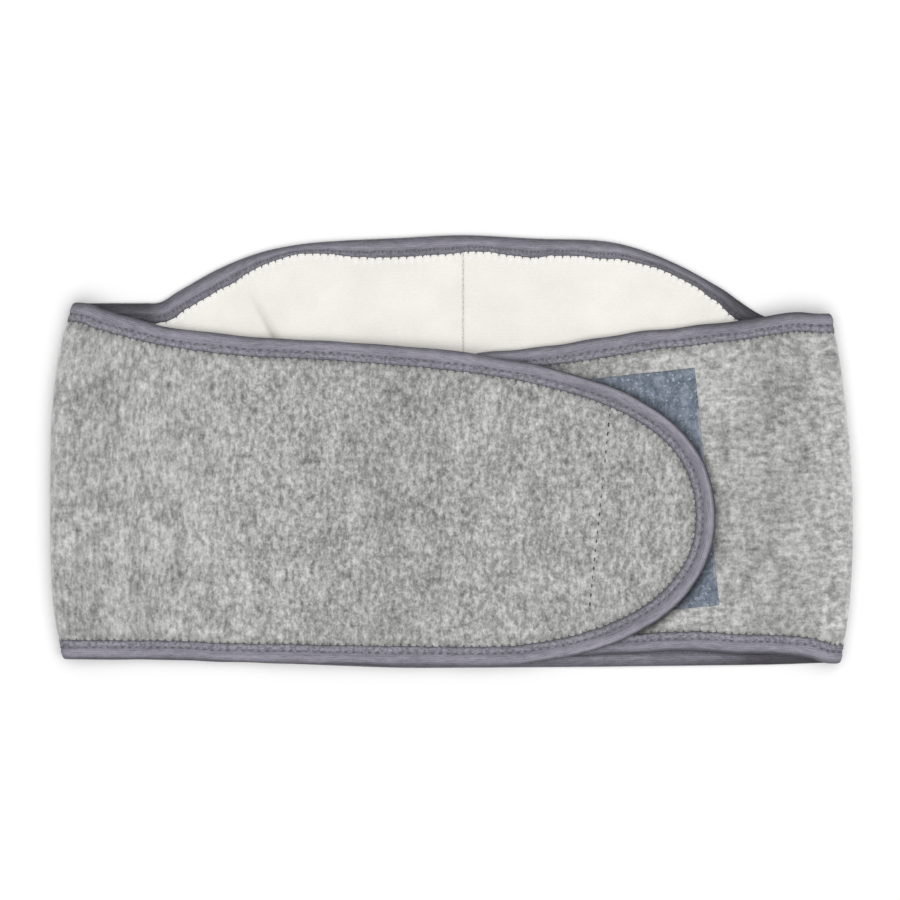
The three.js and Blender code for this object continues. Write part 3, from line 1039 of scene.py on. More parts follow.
@dataclass(frozen=True)
class MarlKnit(Finish):
    """Grey marl jersey with light and dark fibres, in lighter and darker bands along the belt that are partly
    its nap and partly painted light, brighter at the side folds.
    """

    drawn_at: float = 215.0
    drawn_reach: tuple[float, float] = (40.0, 130.0)
    # Shades of the yarn: (place, display values)
    yarns: tuple[tuple[float, Triple], ...] = (
        (0.38, (104, 104, 105)),
        (0.52, (148, 148, 147)),
        (0.63, (181, 181, 179)),
        (0.78, (216, 216, 213)),
    )
    # How light the marl shows along the belt, partly for its nap and partly painted light at the side folds:
    # (run, level)
    nap: Rows = (
        (-560.0, 1.0), (-480.0, 1.02), (-425.0, 1.03), (-406.0, 0.97), (-391.0, 0.92),
        (-375.0, 0.97), (-345.0, 1.03), (-305.0, 1.07), (-262.0, 1.04), (-236.0, 0.96),
        (-226.0, 0.98), (-213.0, 1.06), (-205.0, 1.06), (0.0, 1.0), (203.0, 1.17),
        (213.0, 1.12), (224.0, 0.99), (240.0, 0.93), (250.0, 0.95), (262.0, 1.07),
        (286.0, 1.08), (306.0, 1.0),
    )

    def look(self, bench: Bench) -> Look:
        """Blobs of light and dark yarn, drawn out near the side folds, and whiter tufts at the stitches, with
        painted shade beside the binding and under the left end's rim.

        Args:
            bench: What the finish is mixed with.

        Returns:
            The colour and the relief.
        """
        blobs = bench.streaks(2.7, 3.2, detail=2.0, twist=0.2)
        grain = bench.streaks(1.0, 1.2, detail=1.0, twist=0.3)
        upright = bench.streaks(2.2, 6.0, detail=2.0, twist=0.2)
        level = bench.streaks(6.0, 2.8, detail=2.0, twist=0.2)
        lines = bench.blend(bench.step(bench.along(), 0.0, 1.0), upright, level)
        broad = bench.streaks(13.0, 19.0, detail=2.0)
        shades = bench.streaks(11.0, 60.0, detail=1.0)
        from_fold = bench.size(bench.less(bench.size(bench.along()), self.drawn_at))
        drawn = bench.less(1.0, bench.step(from_fold, *self.drawn_reach))
        streaky = bench.sum((0.31, blobs), (0.12, grain), (0.33, lines), (0.24, broad), (0.14, shades))
        even = bench.sum((0.42, blobs), (0.18, grain), (0.26, lines), (0.2, broad), (0.05, shades))
        value = bench.blend(drawn, even, streaky)
        colour = bench.nodes.ramp(value, [(place, srgb(*display)) for place, display in self.yarns])
        tufted = bench.nodes.mix(bench.times(bench.mark("tuft"), 0.12), colour, srgb(232, 232, 229))
        # Painted shade on the knit beside the binding, whose tape stands above it
        beside = bench.level(bench.mark("beside"), ((-1.0, 1.0), (0.6, 0.9), (2.0, 0.6), (4.5, 0.0)))
        flat = bench.dim(tufted, bench.times(beside, bench.step(broad, 0.3, 0.66)), 0.6)
        # Lighter and darker bands along the belt, partly its nap and partly painted light at the side folds
        brushed = bench.scale(flat, bench.level(bench.along(), self.nap))
        # Painted shadow under the left end's rim
        return Look(bench.shade_under_rim(brushed), value, 0.6)


@dataclass(frozen=True)
class FleeceCloth(Finish):
    """Cream brushed fleece with faint ribs."""

    def look(self, bench: Bench) -> Look:
        """Faint ribs under a soft nap, a dotted seam and painted shade in the crease.

        Args:
            bench: What the finish is mixed with.

        Returns:
            The colour and the relief.
        """
        ribs = bench.ribs(1.15, 0.9)
        nap = bench.streaks(1.8, 0.9, detail=3.0)
        broad = bench.streaks(30.0, 22.0)
        height = bench.sum((0.3, ribs), (0.6, nap))
        value = bench.sum((0.12, ribs), (0.4, nap), (0.6, broad))
        colour = bench.nodes.ramp(value, [(0.3, srgb(229, 226, 220)), (0.8, srgb(243, 240, 234))])
        white = bench.times(bench.mark("tuft"), bench.level(nap, ((0.3, 0.2), (0.6, 0.8))))
        tufted = bench.nodes.mix(white, colour, srgb(253, 253, 251))
        seam = bench.level(bench.size(bench.along()), ((0.0, 1.0), (0.35, 1.0), (0.7, 0.0)))
        sewn = bench.times(seam, bench.step(bench.streaks(0.9, 1.5, detail=1.0), 0.5, 0.62))
        # The seam's dotted sewn line, then painted shade in the crease
        return Look(bench.dim(bench.dim(tufted, sewn, 0.76), self._crease_shade(bench), 0.66), height, 0.16)

    @staticmethod
    def _crease_shade(bench: Bench) -> Socket:
        """Painted shade in the lining's crease, darker to its lower end.

        Args:
            bench: What the finish is mixed with.

        Returns:
            How much painted shade a place gets, from 0 to 1.
        """
        (run, y), (last_run, last_y) = Pattern.CREASE
        turn = math.atan2(last_y - y, last_run - run)
        beside = bench.line(-math.sin(turn), math.cos(turn), run * math.sin(turn) - y * math.cos(turn))
        along = bench.line(math.cos(turn), math.sin(turn), -run * math.cos(turn) - y * math.sin(turn))
        near = bench.level(beside, ((-2.2, 0.0), (-0.8, 0.6), (0.1, 0.95), (1.6, 0.5), (4.4, 0.0)))
        far = bench.level(along, ((0.0, 0.0), (10.0, 0.25), (21.0, 0.6), (29.0, 1.0), (34.0, 0.8)))
        return bench.times(near, far)


@dataclass(frozen=True)
class TapeCloth(Finish):
    """Lavender grey binding tape with fine lines along it, with painted shade in its fold and furrows and
    painted light on its ridges.

    The shade tables hold rows of (place across the tape, level), with the outer face on the negative side.
    Their levels are painted light and shade; the darker inner band on the lining face is partly its looper
    thread.
    """

    end_at: float = 0.0
    end_reach: tuple[float, float] = (95.0, 165.0)
    inner_band: tuple[float, float] = (5.7, 6.7)
    shade: Rows = (
        (-11.0, 0.7), (-9.9, 0.72), (-8.9, 0.9), (-7.9, 1.0), (-7.1, 0.9), (-6.3, 0.76),
        (-5.2, 0.85), (-3.4, 0.94), (-2.2, 0.82), (-1.2, 0.6), (-0.6, 0.48), (0.6, 0.48),
        (1.4, 0.5), (2.4, 0.61), (3.5, 0.76), (4.6, 0.92), (5.4, 0.84), (6.2, 0.7), (8.4, 0.74),
        (11.0, 0.66),
    )
    # Round the left end: a painted light band, and a dark rim of painted shadow from the gap under it
    end_shade: Rows = (
        (-11.0, 0.66), (-9.6, 0.68), (-8.8, 0.8), (-8.0, 1.0), (-7.3, 0.88), (-6.3, 0.66),
        (-5.0, 0.76), (-3.4, 0.84), (-2.0, 1.0), (-1.4, 0.9), (-0.8, 0.55), (-0.3, 0.32),
        (1.0, 0.3), (11.0, 0.5),
    )

    def look(self, bench: Bench) -> Look:
        """Lines along the tape, a mottle and the shade of its folds.

        Args:
            bench: What the finish is mixed with.

        Returns:
            The colour and the relief.
        """
        lines = bench.ribs(1.1, 0.7)
        mottle = bench.streaks(6.0, 1.3, detail=3.0)
        grain = bench.streaks(1.2, 1.0, detail=2.0)
        broad = bench.streaks(34.0, 7.0)
        height = bench.sum((0.22, lines), (0.6, mottle), (0.3, grain))
        value = bench.sum((0.12, lines), (0.5, mottle), (0.25, grain), (0.3, broad))
        colour = bench.nodes.ramp(value, [(0.38, srgb(122, 120, 130)), (0.74, srgb(162, 159, 170))])
        across = bench.across()
        beyond = bench.size(bench.less(bench.along(), self.end_at))
        end = bench.less(1.0, bench.step(beyond, *self.end_reach))
        shade = bench.nodes.mix(end, bench.level(across, self.shade), bench.level(across, self.end_shade))
        shaded = bench.scale(colour, shade)
        inner = bench.step(bench.size(across), *self.inner_band)
        spots = bench.step(bench.streaks(1.9, 1.7, detail=2.0), 0.4, 0.66)
        worn = bench.times(inner, bench.times(spots, 0.8))
        flecked = bench.nodes.mix(worn, shaded, srgb(104, 104, 109))
        # Painted shade from the dusk mark, in the pockets by the side folds and along shaded edges
        return Look(bench.dim(flecked, bench.mark("dusk"), 0.12), height, 0.2)


@dataclass(frozen=True)
class LoopCloth(Finish):
    """Blue grey brushed loop fabric with lighter specks and a paler line along its left and right edges."""

    rim_at: float = 68.2

    def look(self, bench: Bench) -> Look:
        """A fuzzy ground with specks.

        Args:
            bench: What the finish is mixed with.

        Returns:
            The colour and the relief.
        """
        loops = bench.streaks(2.9, 3.3, detail=3.0, twist=0.8)
        cloud = bench.streaks(6.0, 8.0, detail=2.0)
        dots = bench.step(bench.streaks(2.1, 2.1, detail=1.0), 0.57, 0.85)
        value = bench.sum((0.6, loops), (0.4, cloud))
        stops = [(0.34, srgb(88, 97, 110)), (0.5, srgb(114, 123, 136)), (0.68, srgb(143, 151, 163))]
        ground = bench.nodes.ramp(value, stops)
        light = bench.nodes.mix(dots, ground, srgb(166, 176, 188))
        side = bench.step(bench.size(bench.along()), self.rim_at, self.rim_at + 0.8)
        rim = bench.times(side, bench.step(cloud, 0.4, 0.6))
        rimmed = bench.nodes.mix(rim, light, srgb(160, 162, 172))
        # Painted shadow under the left end's rim
        return Look(bench.shade_under_rim(rimmed), loops, 0.5)


@dataclass(frozen=True)
class HookCloth(Finish):
    """Grey blue hook tape."""

    def look(self, bench: Bench) -> Look:
        """Rows of hooks.

        Args:
            bench: What the finish is mixed with.

        Returns:
            The colour and the relief.
        """
        rows = bench.ribs(1.5, 0.1)
        grain = bench.streaks(0.6, 0.6)
        height = bench.sum((1.0, rows), (0.4, grain))
        colour = bench.nodes.ramp(height, [(0.1, srgb(88, 97, 108)), (1.0, srgb(122, 132, 144))])
        return Look(colour, height, 0.4)


@dataclass(frozen=True)
class Thread(Finish):
    """Sewing thread between two shades, each as display values."""

    roughness: float = 0.7
    dark: Triple = (80.0, 79.0, 88.0)
    light: Triple = (118.0, 116.0, 126.0)

    def look(self, bench: Bench) -> Look:
        """Twisted fibres.

        Args:
            bench: What the finish is mixed with.

        Returns:
            The colour and the relief.
        """
        twist = bench.streaks(0.5, 0.3)
        colour = bench.nodes.ramp(twist, [(0.35, srgb(*self.dark)), (0.65, srgb(*self.light))])
        return Look(colour, twist, 0.08)


@dataclass
class Panel:
    """One layer of cloth of one half of the belt, as a thin closed shell."""

    name: str
    node: str
    slot: str
    half: Half
    side: Side
    binding: "Binding"
    finish: bpy.types.Material
    column_step: float = 1.36
    fold_columns: int = 26
    end_columns: int = 120
    edge_rows: tuple[float, ...] = (
        *(0.0, 3.0, 4.5, 5.6, 6.7, 7.8, 8.6, 9.3, 10.0),
        *(10.8, 11.6, 12.5, 13.5, 14.6, 16.0, 18.0, 20.5, 24.0),
    )
    middle_rows: int = 26
    inset: float = 1.0
    furrow_depth: float = 0.42
    furrow_run: float = 3.4
    edge_share: float = 2.6
    furrow_start: float = -0.5
    tuft_at: float = 1.6
    tuft_reach: float = 1.5
    tuft_power: float = 1.3
    outer_tuft: float = 0.1
    lining_tuft: float = 0.3
    # The seam's relief, as bells along the run
    seam: tuple[Triple, ...] = ((0.0, 0.8, -0.06), (2.4, 1.5, 0.2))
    hollow: Triple = (-6.8, 4.2, -0.7)
    hollow_low: float = -20.0
    hollow_rise: float = 60.0
    crease_reach: float = 3.4
    hook_furrow_reach: float = 1.3
    hook_furrow_depth: float = 0.3

    def _columns(self, pattern: Pattern) -> tuple[Array, Array]:
        """The columns of the grid, from left to right.

        Args:
            pattern: The belt's pattern.

        Returns:
            The lower and the upper ends, as rows of (run, y).
        """
        half = self.half
        front_end = pattern.straight_length
        spans = [
            (0.0, half.back_run, round(half.back_run / self.column_step)),
            (half.back_run, half.fold_end, self.fold_columns),
            (half.fold_end, front_end, round((front_end - half.fold_end) / self.column_step)),
        ]
        runs = np.concatenate([np.linspace(a, b, n, endpoint=False) for a, b, n in spans]) * half.sign
        t = np.linspace(1, 0, self.end_columns, endpoint=False)
        ends = []
        for edge in (Edge.HEM, Edge.TOP):
            straight = np.stack([runs, pattern.edge_at(edge, runs)], 1)
            ends.append(np.vstack([straight, pattern.end_curve(half, edge, t)]))
        low, high = ends
        count = len(runs)
        for line, inward in ((low, 1), (high, -1)):
            slope = np.gradient(line, axis=0)
            slope /= np.linalg.norm(slope, axis=1, keepdims=True)
            turn = inward * half.sign
            into = np.stack([-slope[:, 1], slope[:, 0]], 1) * turn
            line += into * self.inset
            line[:count, 0] = runs
        if half is LEFT:
            low, high = low[::-1], high[::-1]
        return low, high

    def build(self, pattern: Pattern) -> bpy.types.Object:
        """Builds the shell.

        Args:
            pattern: The belt's pattern.

        Returns:
            The new piece.
        """
        low, high = self._columns(pattern)
        length = np.linalg.norm(high - low, axis=1)
        near = np.array(self.edge_rows)
        room = np.minimum(1.0, length / (near[-1] * self.edge_share))[:, None]
        first = near[None] * room / length[:, None]
        middle = np.linspace(0, 1, self.middle_rows + 2)[1:-1][None]
        middle = first[:, -1:] + (1 - 2 * first[:, -1:]) * middle
        share = np.hstack([first, middle, 1 - first[:, ::-1]])[..., None]
        flat = low[:, None] + (high - low)[:, None] * share
        run, y = flat[..., 0], flat[..., 1]
        distance, along = pattern.nearest(run, y)
        beside = distance - self.binding.width_along(pattern, along, self.side)
        thick = lerp(pattern.SQUEEZED, pattern.FACE, pattern.puff(beside + pattern.BINDING_WIDTH))
        face = thick + self._relief(pattern, run, y, beside, along)
        h = np.stack([-face, np.full_like(face, -pattern.GAP / 2)], -1)
        if self.side is Side.LINING:
            h = np.stack([np.full_like(face, pattern.GAP / 2), face], -1)
        points = pattern.place(run[..., None], y[..., None], h, distance[..., None])
        uv = np.repeat(flat[..., None, :], 2, axis=2)
        faces = grid_faces(*run.shape)
        marks = {"tuft": self._tuft(pattern, beside, along), "beside": beside}
        marks = {label: np.repeat(values[..., None], 2, axis=2).ravel() for label, values in marks.items()}
        # Marks for the painted shadow beside the left end's rim
        if self.side is Side.OUTER and self.half is RIGHT:
            marks |= pattern.rim_shadow(points[..., 0], points[..., 1])
        piece = make_mesh(self.name, points.reshape(-1, 3), faces, uv.reshape(-1, 2), **marks)
        piece.data.materials.append(self.finish)
        return piece

    def _tuft(self, pattern: Pattern, beside: Array, along: Array) -> Array:
        """How much the pile stands up between the stitches beside the binding."""
        beat = 0.5 - 0.5 * np.cos(math.tau * along / pattern.pitch)
        return beat**self.tuft_power * hump(beside - self.tuft_at, self.tuft_reach)

    def _relief(self, pattern: Pattern, run: Array, y: Array, beside: Array, along: Array) -> Array:
        """Extra height of the face: furrows beside the binding, the seam, the crease and sewing lines.

        Args:
            pattern: The belt's pattern.
            run: Distance along the belt.
            y: Height across the belt.
            beside: Distance from the binding's inner edge.
            along: Length along the outline at its nearest point.

        Returns:
            The height at each place.
        """
        beat = 0.5 + 0.5 * np.cos(math.tau * along / pattern.pitch)
        fade = np.exp(-np.maximum(0, beside) / self.furrow_run) * (beside > self.furrow_start)
        tuft = self.lining_tuft if self.side is Side.LINING else self.outer_tuft
        relief = tuft * self._tuft(pattern, beside, along) - self.furrow_depth * beat * fade
        for shape in self.seam:
            relief += bell(run, shape)
        if self.side is Side.LINING:
            relief += bell(run, self.hollow) * ease((y - self.hollow_low) / self.hollow_rise)
            relief -= pattern.CREASE_DEPTH * pattern.near_line(run, y, pattern.CREASE, self.crease_reach)
        elif self.half is LEFT:
            furrow = pattern.near_line(run, y, pattern.hook_line(), self.hook_furrow_reach)
            relief -= self.hook_furrow_depth * furrow
        return relief

    def dress(self, pattern: Pattern, piece: bpy.types.Object) -> None:
        """Ties the piece to the frame and hides the imported part it stands for.

        Args:
            pattern: Not used.
            piece: The piece.
        """
        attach(piece, BODY)
        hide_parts(self.node)


@dataclass
class Binding:
    """The tape folded over the whole edge, with a rounded outer band and a stitched inner band."""

    name: str
    finish: bpy.types.Material
    step: float = 1.0
    round_edge: float = 3.0
    # Rows of (distance from the edge, share of the face's height), from the edge to the tape's own edge
    profile: Rows = (
        (0.0, 0.1), (0.18, 0.34), (0.5, 0.56), (1.0, 0.77), (1.6, 0.92), (2.4, 1.02),
        (3.4, 1.08), (4.4, 1.07), (5.2, 0.94), (5.8, 0.76), (6.3, 0.66), (6.9, 0.76),
        (7.5, 0.93), (8.1, 0.96), (8.9, 0.84), (9.5, 0.7), (10.0, 0.52),
    )
    # How wide the tape shows on the back's lining along its upper edge: (run, width)
    lining_widths: Rows = (
        (-170.0, 10.0), (-152.0, 10.6), (-146.0, 10.0), (-120.0, 9.8), (-115.0, 8.5),
        (-110.0, 7.7), (-105.0, 6.8), (-99.0, 6.4), (-89.0, 5.1), (-83.0, 5.0), (-72.6, 6.1),
        (-67.5, 6.6), (-57.4, 8.6), (-47.0, 9.6), (-32.0, 10.0), (-6.6, 9.7), (-1.5, 9.1),
        (3.6, 8.6), (13.8, 8.2), (19.0, 9.1), (29.0, 9.6), (36.0, 10.2), (44.2, 8.7),
        (59.5, 8.6), (69.6, 9.5), (75.0, 9.0), (80.0, 8.0), (90.0, 7.3), (97.0, 6.6),
        (103.0, 6.0), (122.0, 5.9), (128.0, 6.9), (134.0, 7.2), (139.0, 8.6), (150.0, 9.6),
    )
    lining_widths_reach: float = 205.0
    # Bells over the distance from the edge: its dents at the needle holes and the swell of its rolled band
    needles: tuple[Triple, ...] = ((6.2, 0.9, 0.16), (10.0, 0.9, 0.2))
    swell: Triple = (3.0, 2.0, 0.06)
    # How much it is pressed over the side folds, as a bell along the run
    pressed: Triple = (209.0, 9.0, 0.26)
    # Between two stitches its inner edge stands out over the cloth
    outer_scallop: float = 0.22
    lining_scallop: float = 0.38
    scallop_start: float = 8.7
    scallop_run: float = 1.3
    # Random changes along it: (seed, shortest wave, longest wave, slant)
    wander: tuple[int, float, float, float] = (11, 12.0, 45.0, 0.37)
    ragged: tuple[int, float, float, float] = (17, 6.0, 19.0, 0.61)
    tuck_gap: float = 0.08
    tuck_first: float = 1.4
    tuck_last: float = 0.6
    dusk_starts: float = 26.0
    dusk_ends: float = 14.0
    # Painted shade on the tape, in the pockets by the side folds and along edges that lie in shade: (face,
    # edge, lowest run, highest run, reach from the edge, share)
    dusk: tuple[tuple[Side, Edge, float, float, float, float], ...] = (
        (Side.LINING, Edge.TOP, -214.0, -158.0, 20.0, 0.62),
        (Side.LINING, Edge.TOP, 92.0, 205.0, 20.0, 0.22),
        (Side.LINING, Edge.TOP, 134.0, 205.0, 20.0, 0.45),
        (Side.LINING, Edge.HEM, 96.0, 215.0, 20.0, 0.24),
        (Side.LINING, Edge.HEM, 140.0, 215.0, 20.0, 0.42),
        (Side.OUTER, Edge.TOP, 212.0, 282.0, 3.6, 0.4),
        (Side.OUTER, Edge.TOP, -236.0, -213.0, 3.0, 0.2),
        (Side.OUTER, Edge.HEM, 220.0, 350.0, 1.3, 0.42),
        (Side.OUTER, Edge.HEM, -390.0, -222.0, 1.0, 0.3),
    )

    def width(self, pattern: Pattern, run: Array, y: Array, side: Side) -> Array:
        """How wide the tape shows.

        Args:
            pattern: The belt's pattern.
            run: The outline's distance along the belt.
            y: The outline's height across the belt.
            side: The face.

        Returns:
            The width at each place.
        """
        full = np.full_like(run, pattern.BINDING_WIDTH)
        if side is Side.OUTER:
            return full
        table = np.array(self.lining_widths)
        narrow = np.interp(run, table[:, 0], table[:, 1], left=table[0, 1], right=table[-1, 1])
        return np.where((y > 0) & (np.abs(run) < self.lining_widths_reach), narrow, full)

    def width_along(self, pattern: Pattern, along: Array, side: Side) -> Array:
        """How wide the tape shows on a face at lengths along the outline."""
        run, y = (np.interp(along, pattern.outline_s, pattern.outline[:, k]) for k in (0, 1))
        return self.width(pattern, run, y, side)

    def dusk_at(self, run: Array, y: Array, side: Side, distance: float) -> Array:
        """How much painted shade the tape gets, in the folds' pockets and along shaded edges.

        Args:
            run: The outline's distance along the belt.
            y: The outline's height across the belt.
            side: The face.
            distance: Distance from the edge.

        Returns:
            The share from 0 to 1.
        """
        total = np.zeros_like(run)
        for face, edge, low, high, reach, share in self.dusk:
            if face is side:
                between = ease((run - low) / self.dusk_starts + 0.5)
                between = between * ease((high - run) / self.dusk_ends + 0.5)
                on_edge = (y > 0) == (edge is Edge.TOP)
                total += share * between * on_edge * float(ease(1.5 - distance / reach))
        return total

    def face_at(self, distance: Array) -> Array:
        """The share of the face's height at distances from the edge, on a tape of full width."""
        table = np.array(self.profile)
        return np.interp(distance, table[:, 0], table[:, 1])

    def _section(self, pattern: Pattern) -> list[tuple[Side, float, float, float]]:
        """The tape's section from inside its outer face, round the edge, to inside its lining face.

        Args:
            pattern: The belt's pattern.

        Returns:
            Rows of (side, distance from the edge, height over the middle, place across the tape).
        """
        tuck = pattern.SQUEEZED + self.tuck_gap
        width, first, last = pattern.BINDING_WIDTH, self.tuck_first, self.tuck_last
        half = [(first, tuck, 2 * width - first), (width - last, tuck, width + last)]
        half += [(d, pattern.BINDING_FACE * share, d) for d, share in self.profile[::-1]]
        outer = [(Side.OUTER, d, h, -v) for d, h, v in half]
        return outer + [(Side.LINING, d, h, v) for d, h, v in half[::-1]]

    @staticmethod
    def _random(along: Array, row: tuple[int, float, float, float]) -> Array:
        """Soft random changes at lengths along the tape."""
        seed, shortest, longest, slant = row
        return Waves(seed, shortest, longest).at(along, along * slant)

    def build(self, pattern: Pattern) -> bpy.types.Object:
        """Sweeps the section round the outline.

        Args:
            pattern: The belt's pattern.

        Returns:
            The new piece.
        """
        take = slice(None, None, round(self.step / pattern.OUTLINE_STEP))
        point, into, along = pattern.outline[take], pattern.into[take], pattern.outline_s[take]
        beat = 0.5 + 0.5 * np.cos(math.tau * along / pattern.pitch)
        wander = self._random(along, self.wander)
        ragged = np.clip(1 + 0.5 * self._random(along, self.ragged), 0.1, 2.0) * (1 - beat)
        run, y = point.T
        scale = {side: self.width(pattern, run, y, side) / pattern.BINDING_WIDTH for side in Side}
        scallops = {Side.OUTER: self.outer_scallop * ragged, Side.LINING: self.lining_scallop * ragged}
        thin = 1 - bell(np.abs(run), self.pressed)
        insets, heights, across, dusk = [], [], [], []
        for side, d, h, v in self._section(pattern):
            shown = abs(v) <= pattern.BINDING_WIDTH
            dent = sum(bell(d, hole) for hole in self.needles) * beat * shown
            scallop = scallops[side] * ease((d - self.scallop_start) / self.scallop_run) * shown
            insets.append(d * scale[side] - scallop)
            heights.append(side.value * (h * thin - dent + bell(d, self.swell) * wander))
            across.append(v)
            # Share of painted shade at this place of the section
            dusk.append(self.dusk_at(run, y, side, d))
        inset, h = np.stack(insets, 1), np.stack(heights, 1)
        flat = point[:, None] + into[:, None] * inset[..., None]
        points = pattern.place(flat[..., 0], flat[..., 1], h, np.minimum(inset, pattern.BINDING_WIDTH))
        count, width = h.shape
        i, j = (a.ravel() for a in np.meshgrid(np.arange(count), np.arange(width), indexing="ij"))
        after, beside = (i + 1) % count, (j + 1) % width
        faces = np.stack([i * width + j, i * width + beside, after * width + beside, after * width + j], 1)
        uv = np.stack([np.broadcast_to(along[:, None], h.shape), np.broadcast_to(across, h.shape)], -1)
        dusky = np.stack(dusk, 1).ravel()
        piece = make_mesh(self.name, points.reshape(-1, 3), faces, uv.reshape(-1, 2), dusk=dusky)
        piece.data.materials.append(self.finish)
        self._face_out(piece)
        return piece

    @staticmethod
    def _face_out(piece: bpy.types.Object) -> None:
        """Turns the faces outwards.

        Args:
            piece: The piece.
        """
        bpy.ops.object.select_all(action="DESELECT")
        bpy.context.view_layer.objects.active = piece
        piece.select_set(True)
        bpy.ops.object.mode_set(mode="EDIT")
        bpy.ops.mesh.select_all(action="SELECT")
        bpy.ops.mesh.normals_make_consistent(inside=False)
        bpy.ops.object.mode_set(mode="OBJECT")
        piece.select_set(False)

    def dress(self, pattern: Pattern, piece: bpy.types.Object) -> None:
        """Ties the piece to the frame and hides the imported part it stands for.

        Args:
            pattern: Not used.
            piece: The piece.
        """
        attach(piece, BODY)
        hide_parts("edge_binding")


@dataclass
class Patch:
    """A flat tape patch on one face of a front."""

    name: str
    node: str
    slot: str
    half: Half
    middle: tuple[float, float]
    size: tuple[float, float]
    bottom: float
    thickness: float
    finish: bpy.types.Material
    step: float = 1.2
    margin: float = 1.0
    trim: float = 0.25
    rim_run: float = 2.4
    rim_share: float = 0.12

    def flat_at(self, pattern: Pattern, a: Array, b: Array) -> tuple[Array, Array]:
        """Pattern places of points of the patch.

        Args:
            pattern: The belt's pattern.
            a: Place along the patch, from its middle.
            b: Place up the patch, from its middle.

        Returns:
            The run and the height of each point.
        """
        half = self.half
        turn = -half.sign * pattern.PATCH_TILT
        c, s = math.cos(turn), math.sin(turn)
        run = half.sign * (half.fold_end + pattern.FOLD_CENTRE) - self.middle[0] + (a * c - b * s)
        return run, self.middle[1] + (a * s + b * c)

    def reach(self, pattern: Pattern, a: Array) -> tuple[Array, Array]:
        """How far columns reach, kept clear of the binding.

        Args:
            pattern: The belt's pattern.
            a: Where the columns are, from the patch's middle.

        Returns:
            Their lower and upper ends.
        """
        margin = pattern.BINDING_WIDTH + self.margin
        ends = []
        for way in (-1, 1):
            b = np.full_like(a, self.size[1] / 2)
            close = np.ones_like(a, bool)
            while close.any():
                run, y = self.flat_at(pattern, a, way * b)
                close = (pattern.inset(run, y) < margin) & (b > 0)
                b = np.where(close, b - self.trim, b)
            ends.append(way * b)
        return ends[0], ends[1]

    def build(self, pattern: Pattern) -> bpy.types.Object:
        """Builds the patch as a thin closed shell with a rounded rim.

        Args:
            pattern: The belt's pattern.

        Returns:
            The new piece.
        """
        across = round(self.size[0] / self.step)
        up = round(self.size[1] / self.step)
        a = np.linspace(-self.size[0] / 2, self.size[0] / 2, across + 1)
        low, high = self.reach(pattern, a)
        share = np.linspace(0, 1, up + 1)
        b = low[:, None] + (high - low)[:, None] * share[None]
        grid_a = np.broadcast_to(a[:, None], b.shape)
        run, y = self.flat_at(pattern, grid_a, b)
        sides = [grid_a + self.size[0] / 2, self.size[0] / 2 - grid_a, b - low[:, None], high[:, None] - b]
        rim = np.minimum.reduce(sides)
        top = self.bottom + self.thickness * lerp(self.rim_share, 1.0, ease(rim / self.rim_run))
        h = np.stack([np.full_like(top, self.bottom), top], -1)
        if self.half is RIGHT:
            h = -h[..., ::-1]
        inset = np.full(h.shape, pattern.BINDING_WIDTH + self.margin + pattern.PUFF_RUN)
        points = pattern.place(run[..., None], y[..., None], h, inset)
        uv = np.repeat(np.stack([grid_a, b], -1)[..., None, :], 2, axis=2)
        faces = grid_faces(*run.shape)
        # Marks for the painted shadow beside the left end's rim
        marks = pattern.rim_shadow(points[..., 0], points[..., 1]) if self.half is RIGHT else {}
        piece = make_mesh(self.name, points.reshape(-1, 3), faces, uv.reshape(-1, 2), **marks)
        piece.data.materials.append(self.finish)
        return piece

    def dress(self, piece: bpy.types.Object) -> None:
        """Ties the piece to the frame and hides the imported part it stands for.

        Args:
            piece: The piece.
        """
        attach(piece, BODY)
        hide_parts(self.node)

    def border(self, pattern: Pattern, inside: float) -> tuple[Line, ...]:
        """Lines inside the patch's four sides.

        Args:
            pattern: The belt's pattern.
            inside: How far inside they run.

        Returns:
            The (run, y) ends of each line.
        """
        wide, high = self.size[0] / 2 - inside, self.size[1] / 2 - inside
        corners = [(-wide, -high), (wide, -high), (wide, high), (-wide, high)]
        places = [tuple(float(v) for v in self.flat_at(pattern, a, b)) for a, b in corners]
        return tuple((places[k], places[(k + 1) % 4]) for k in range(4))


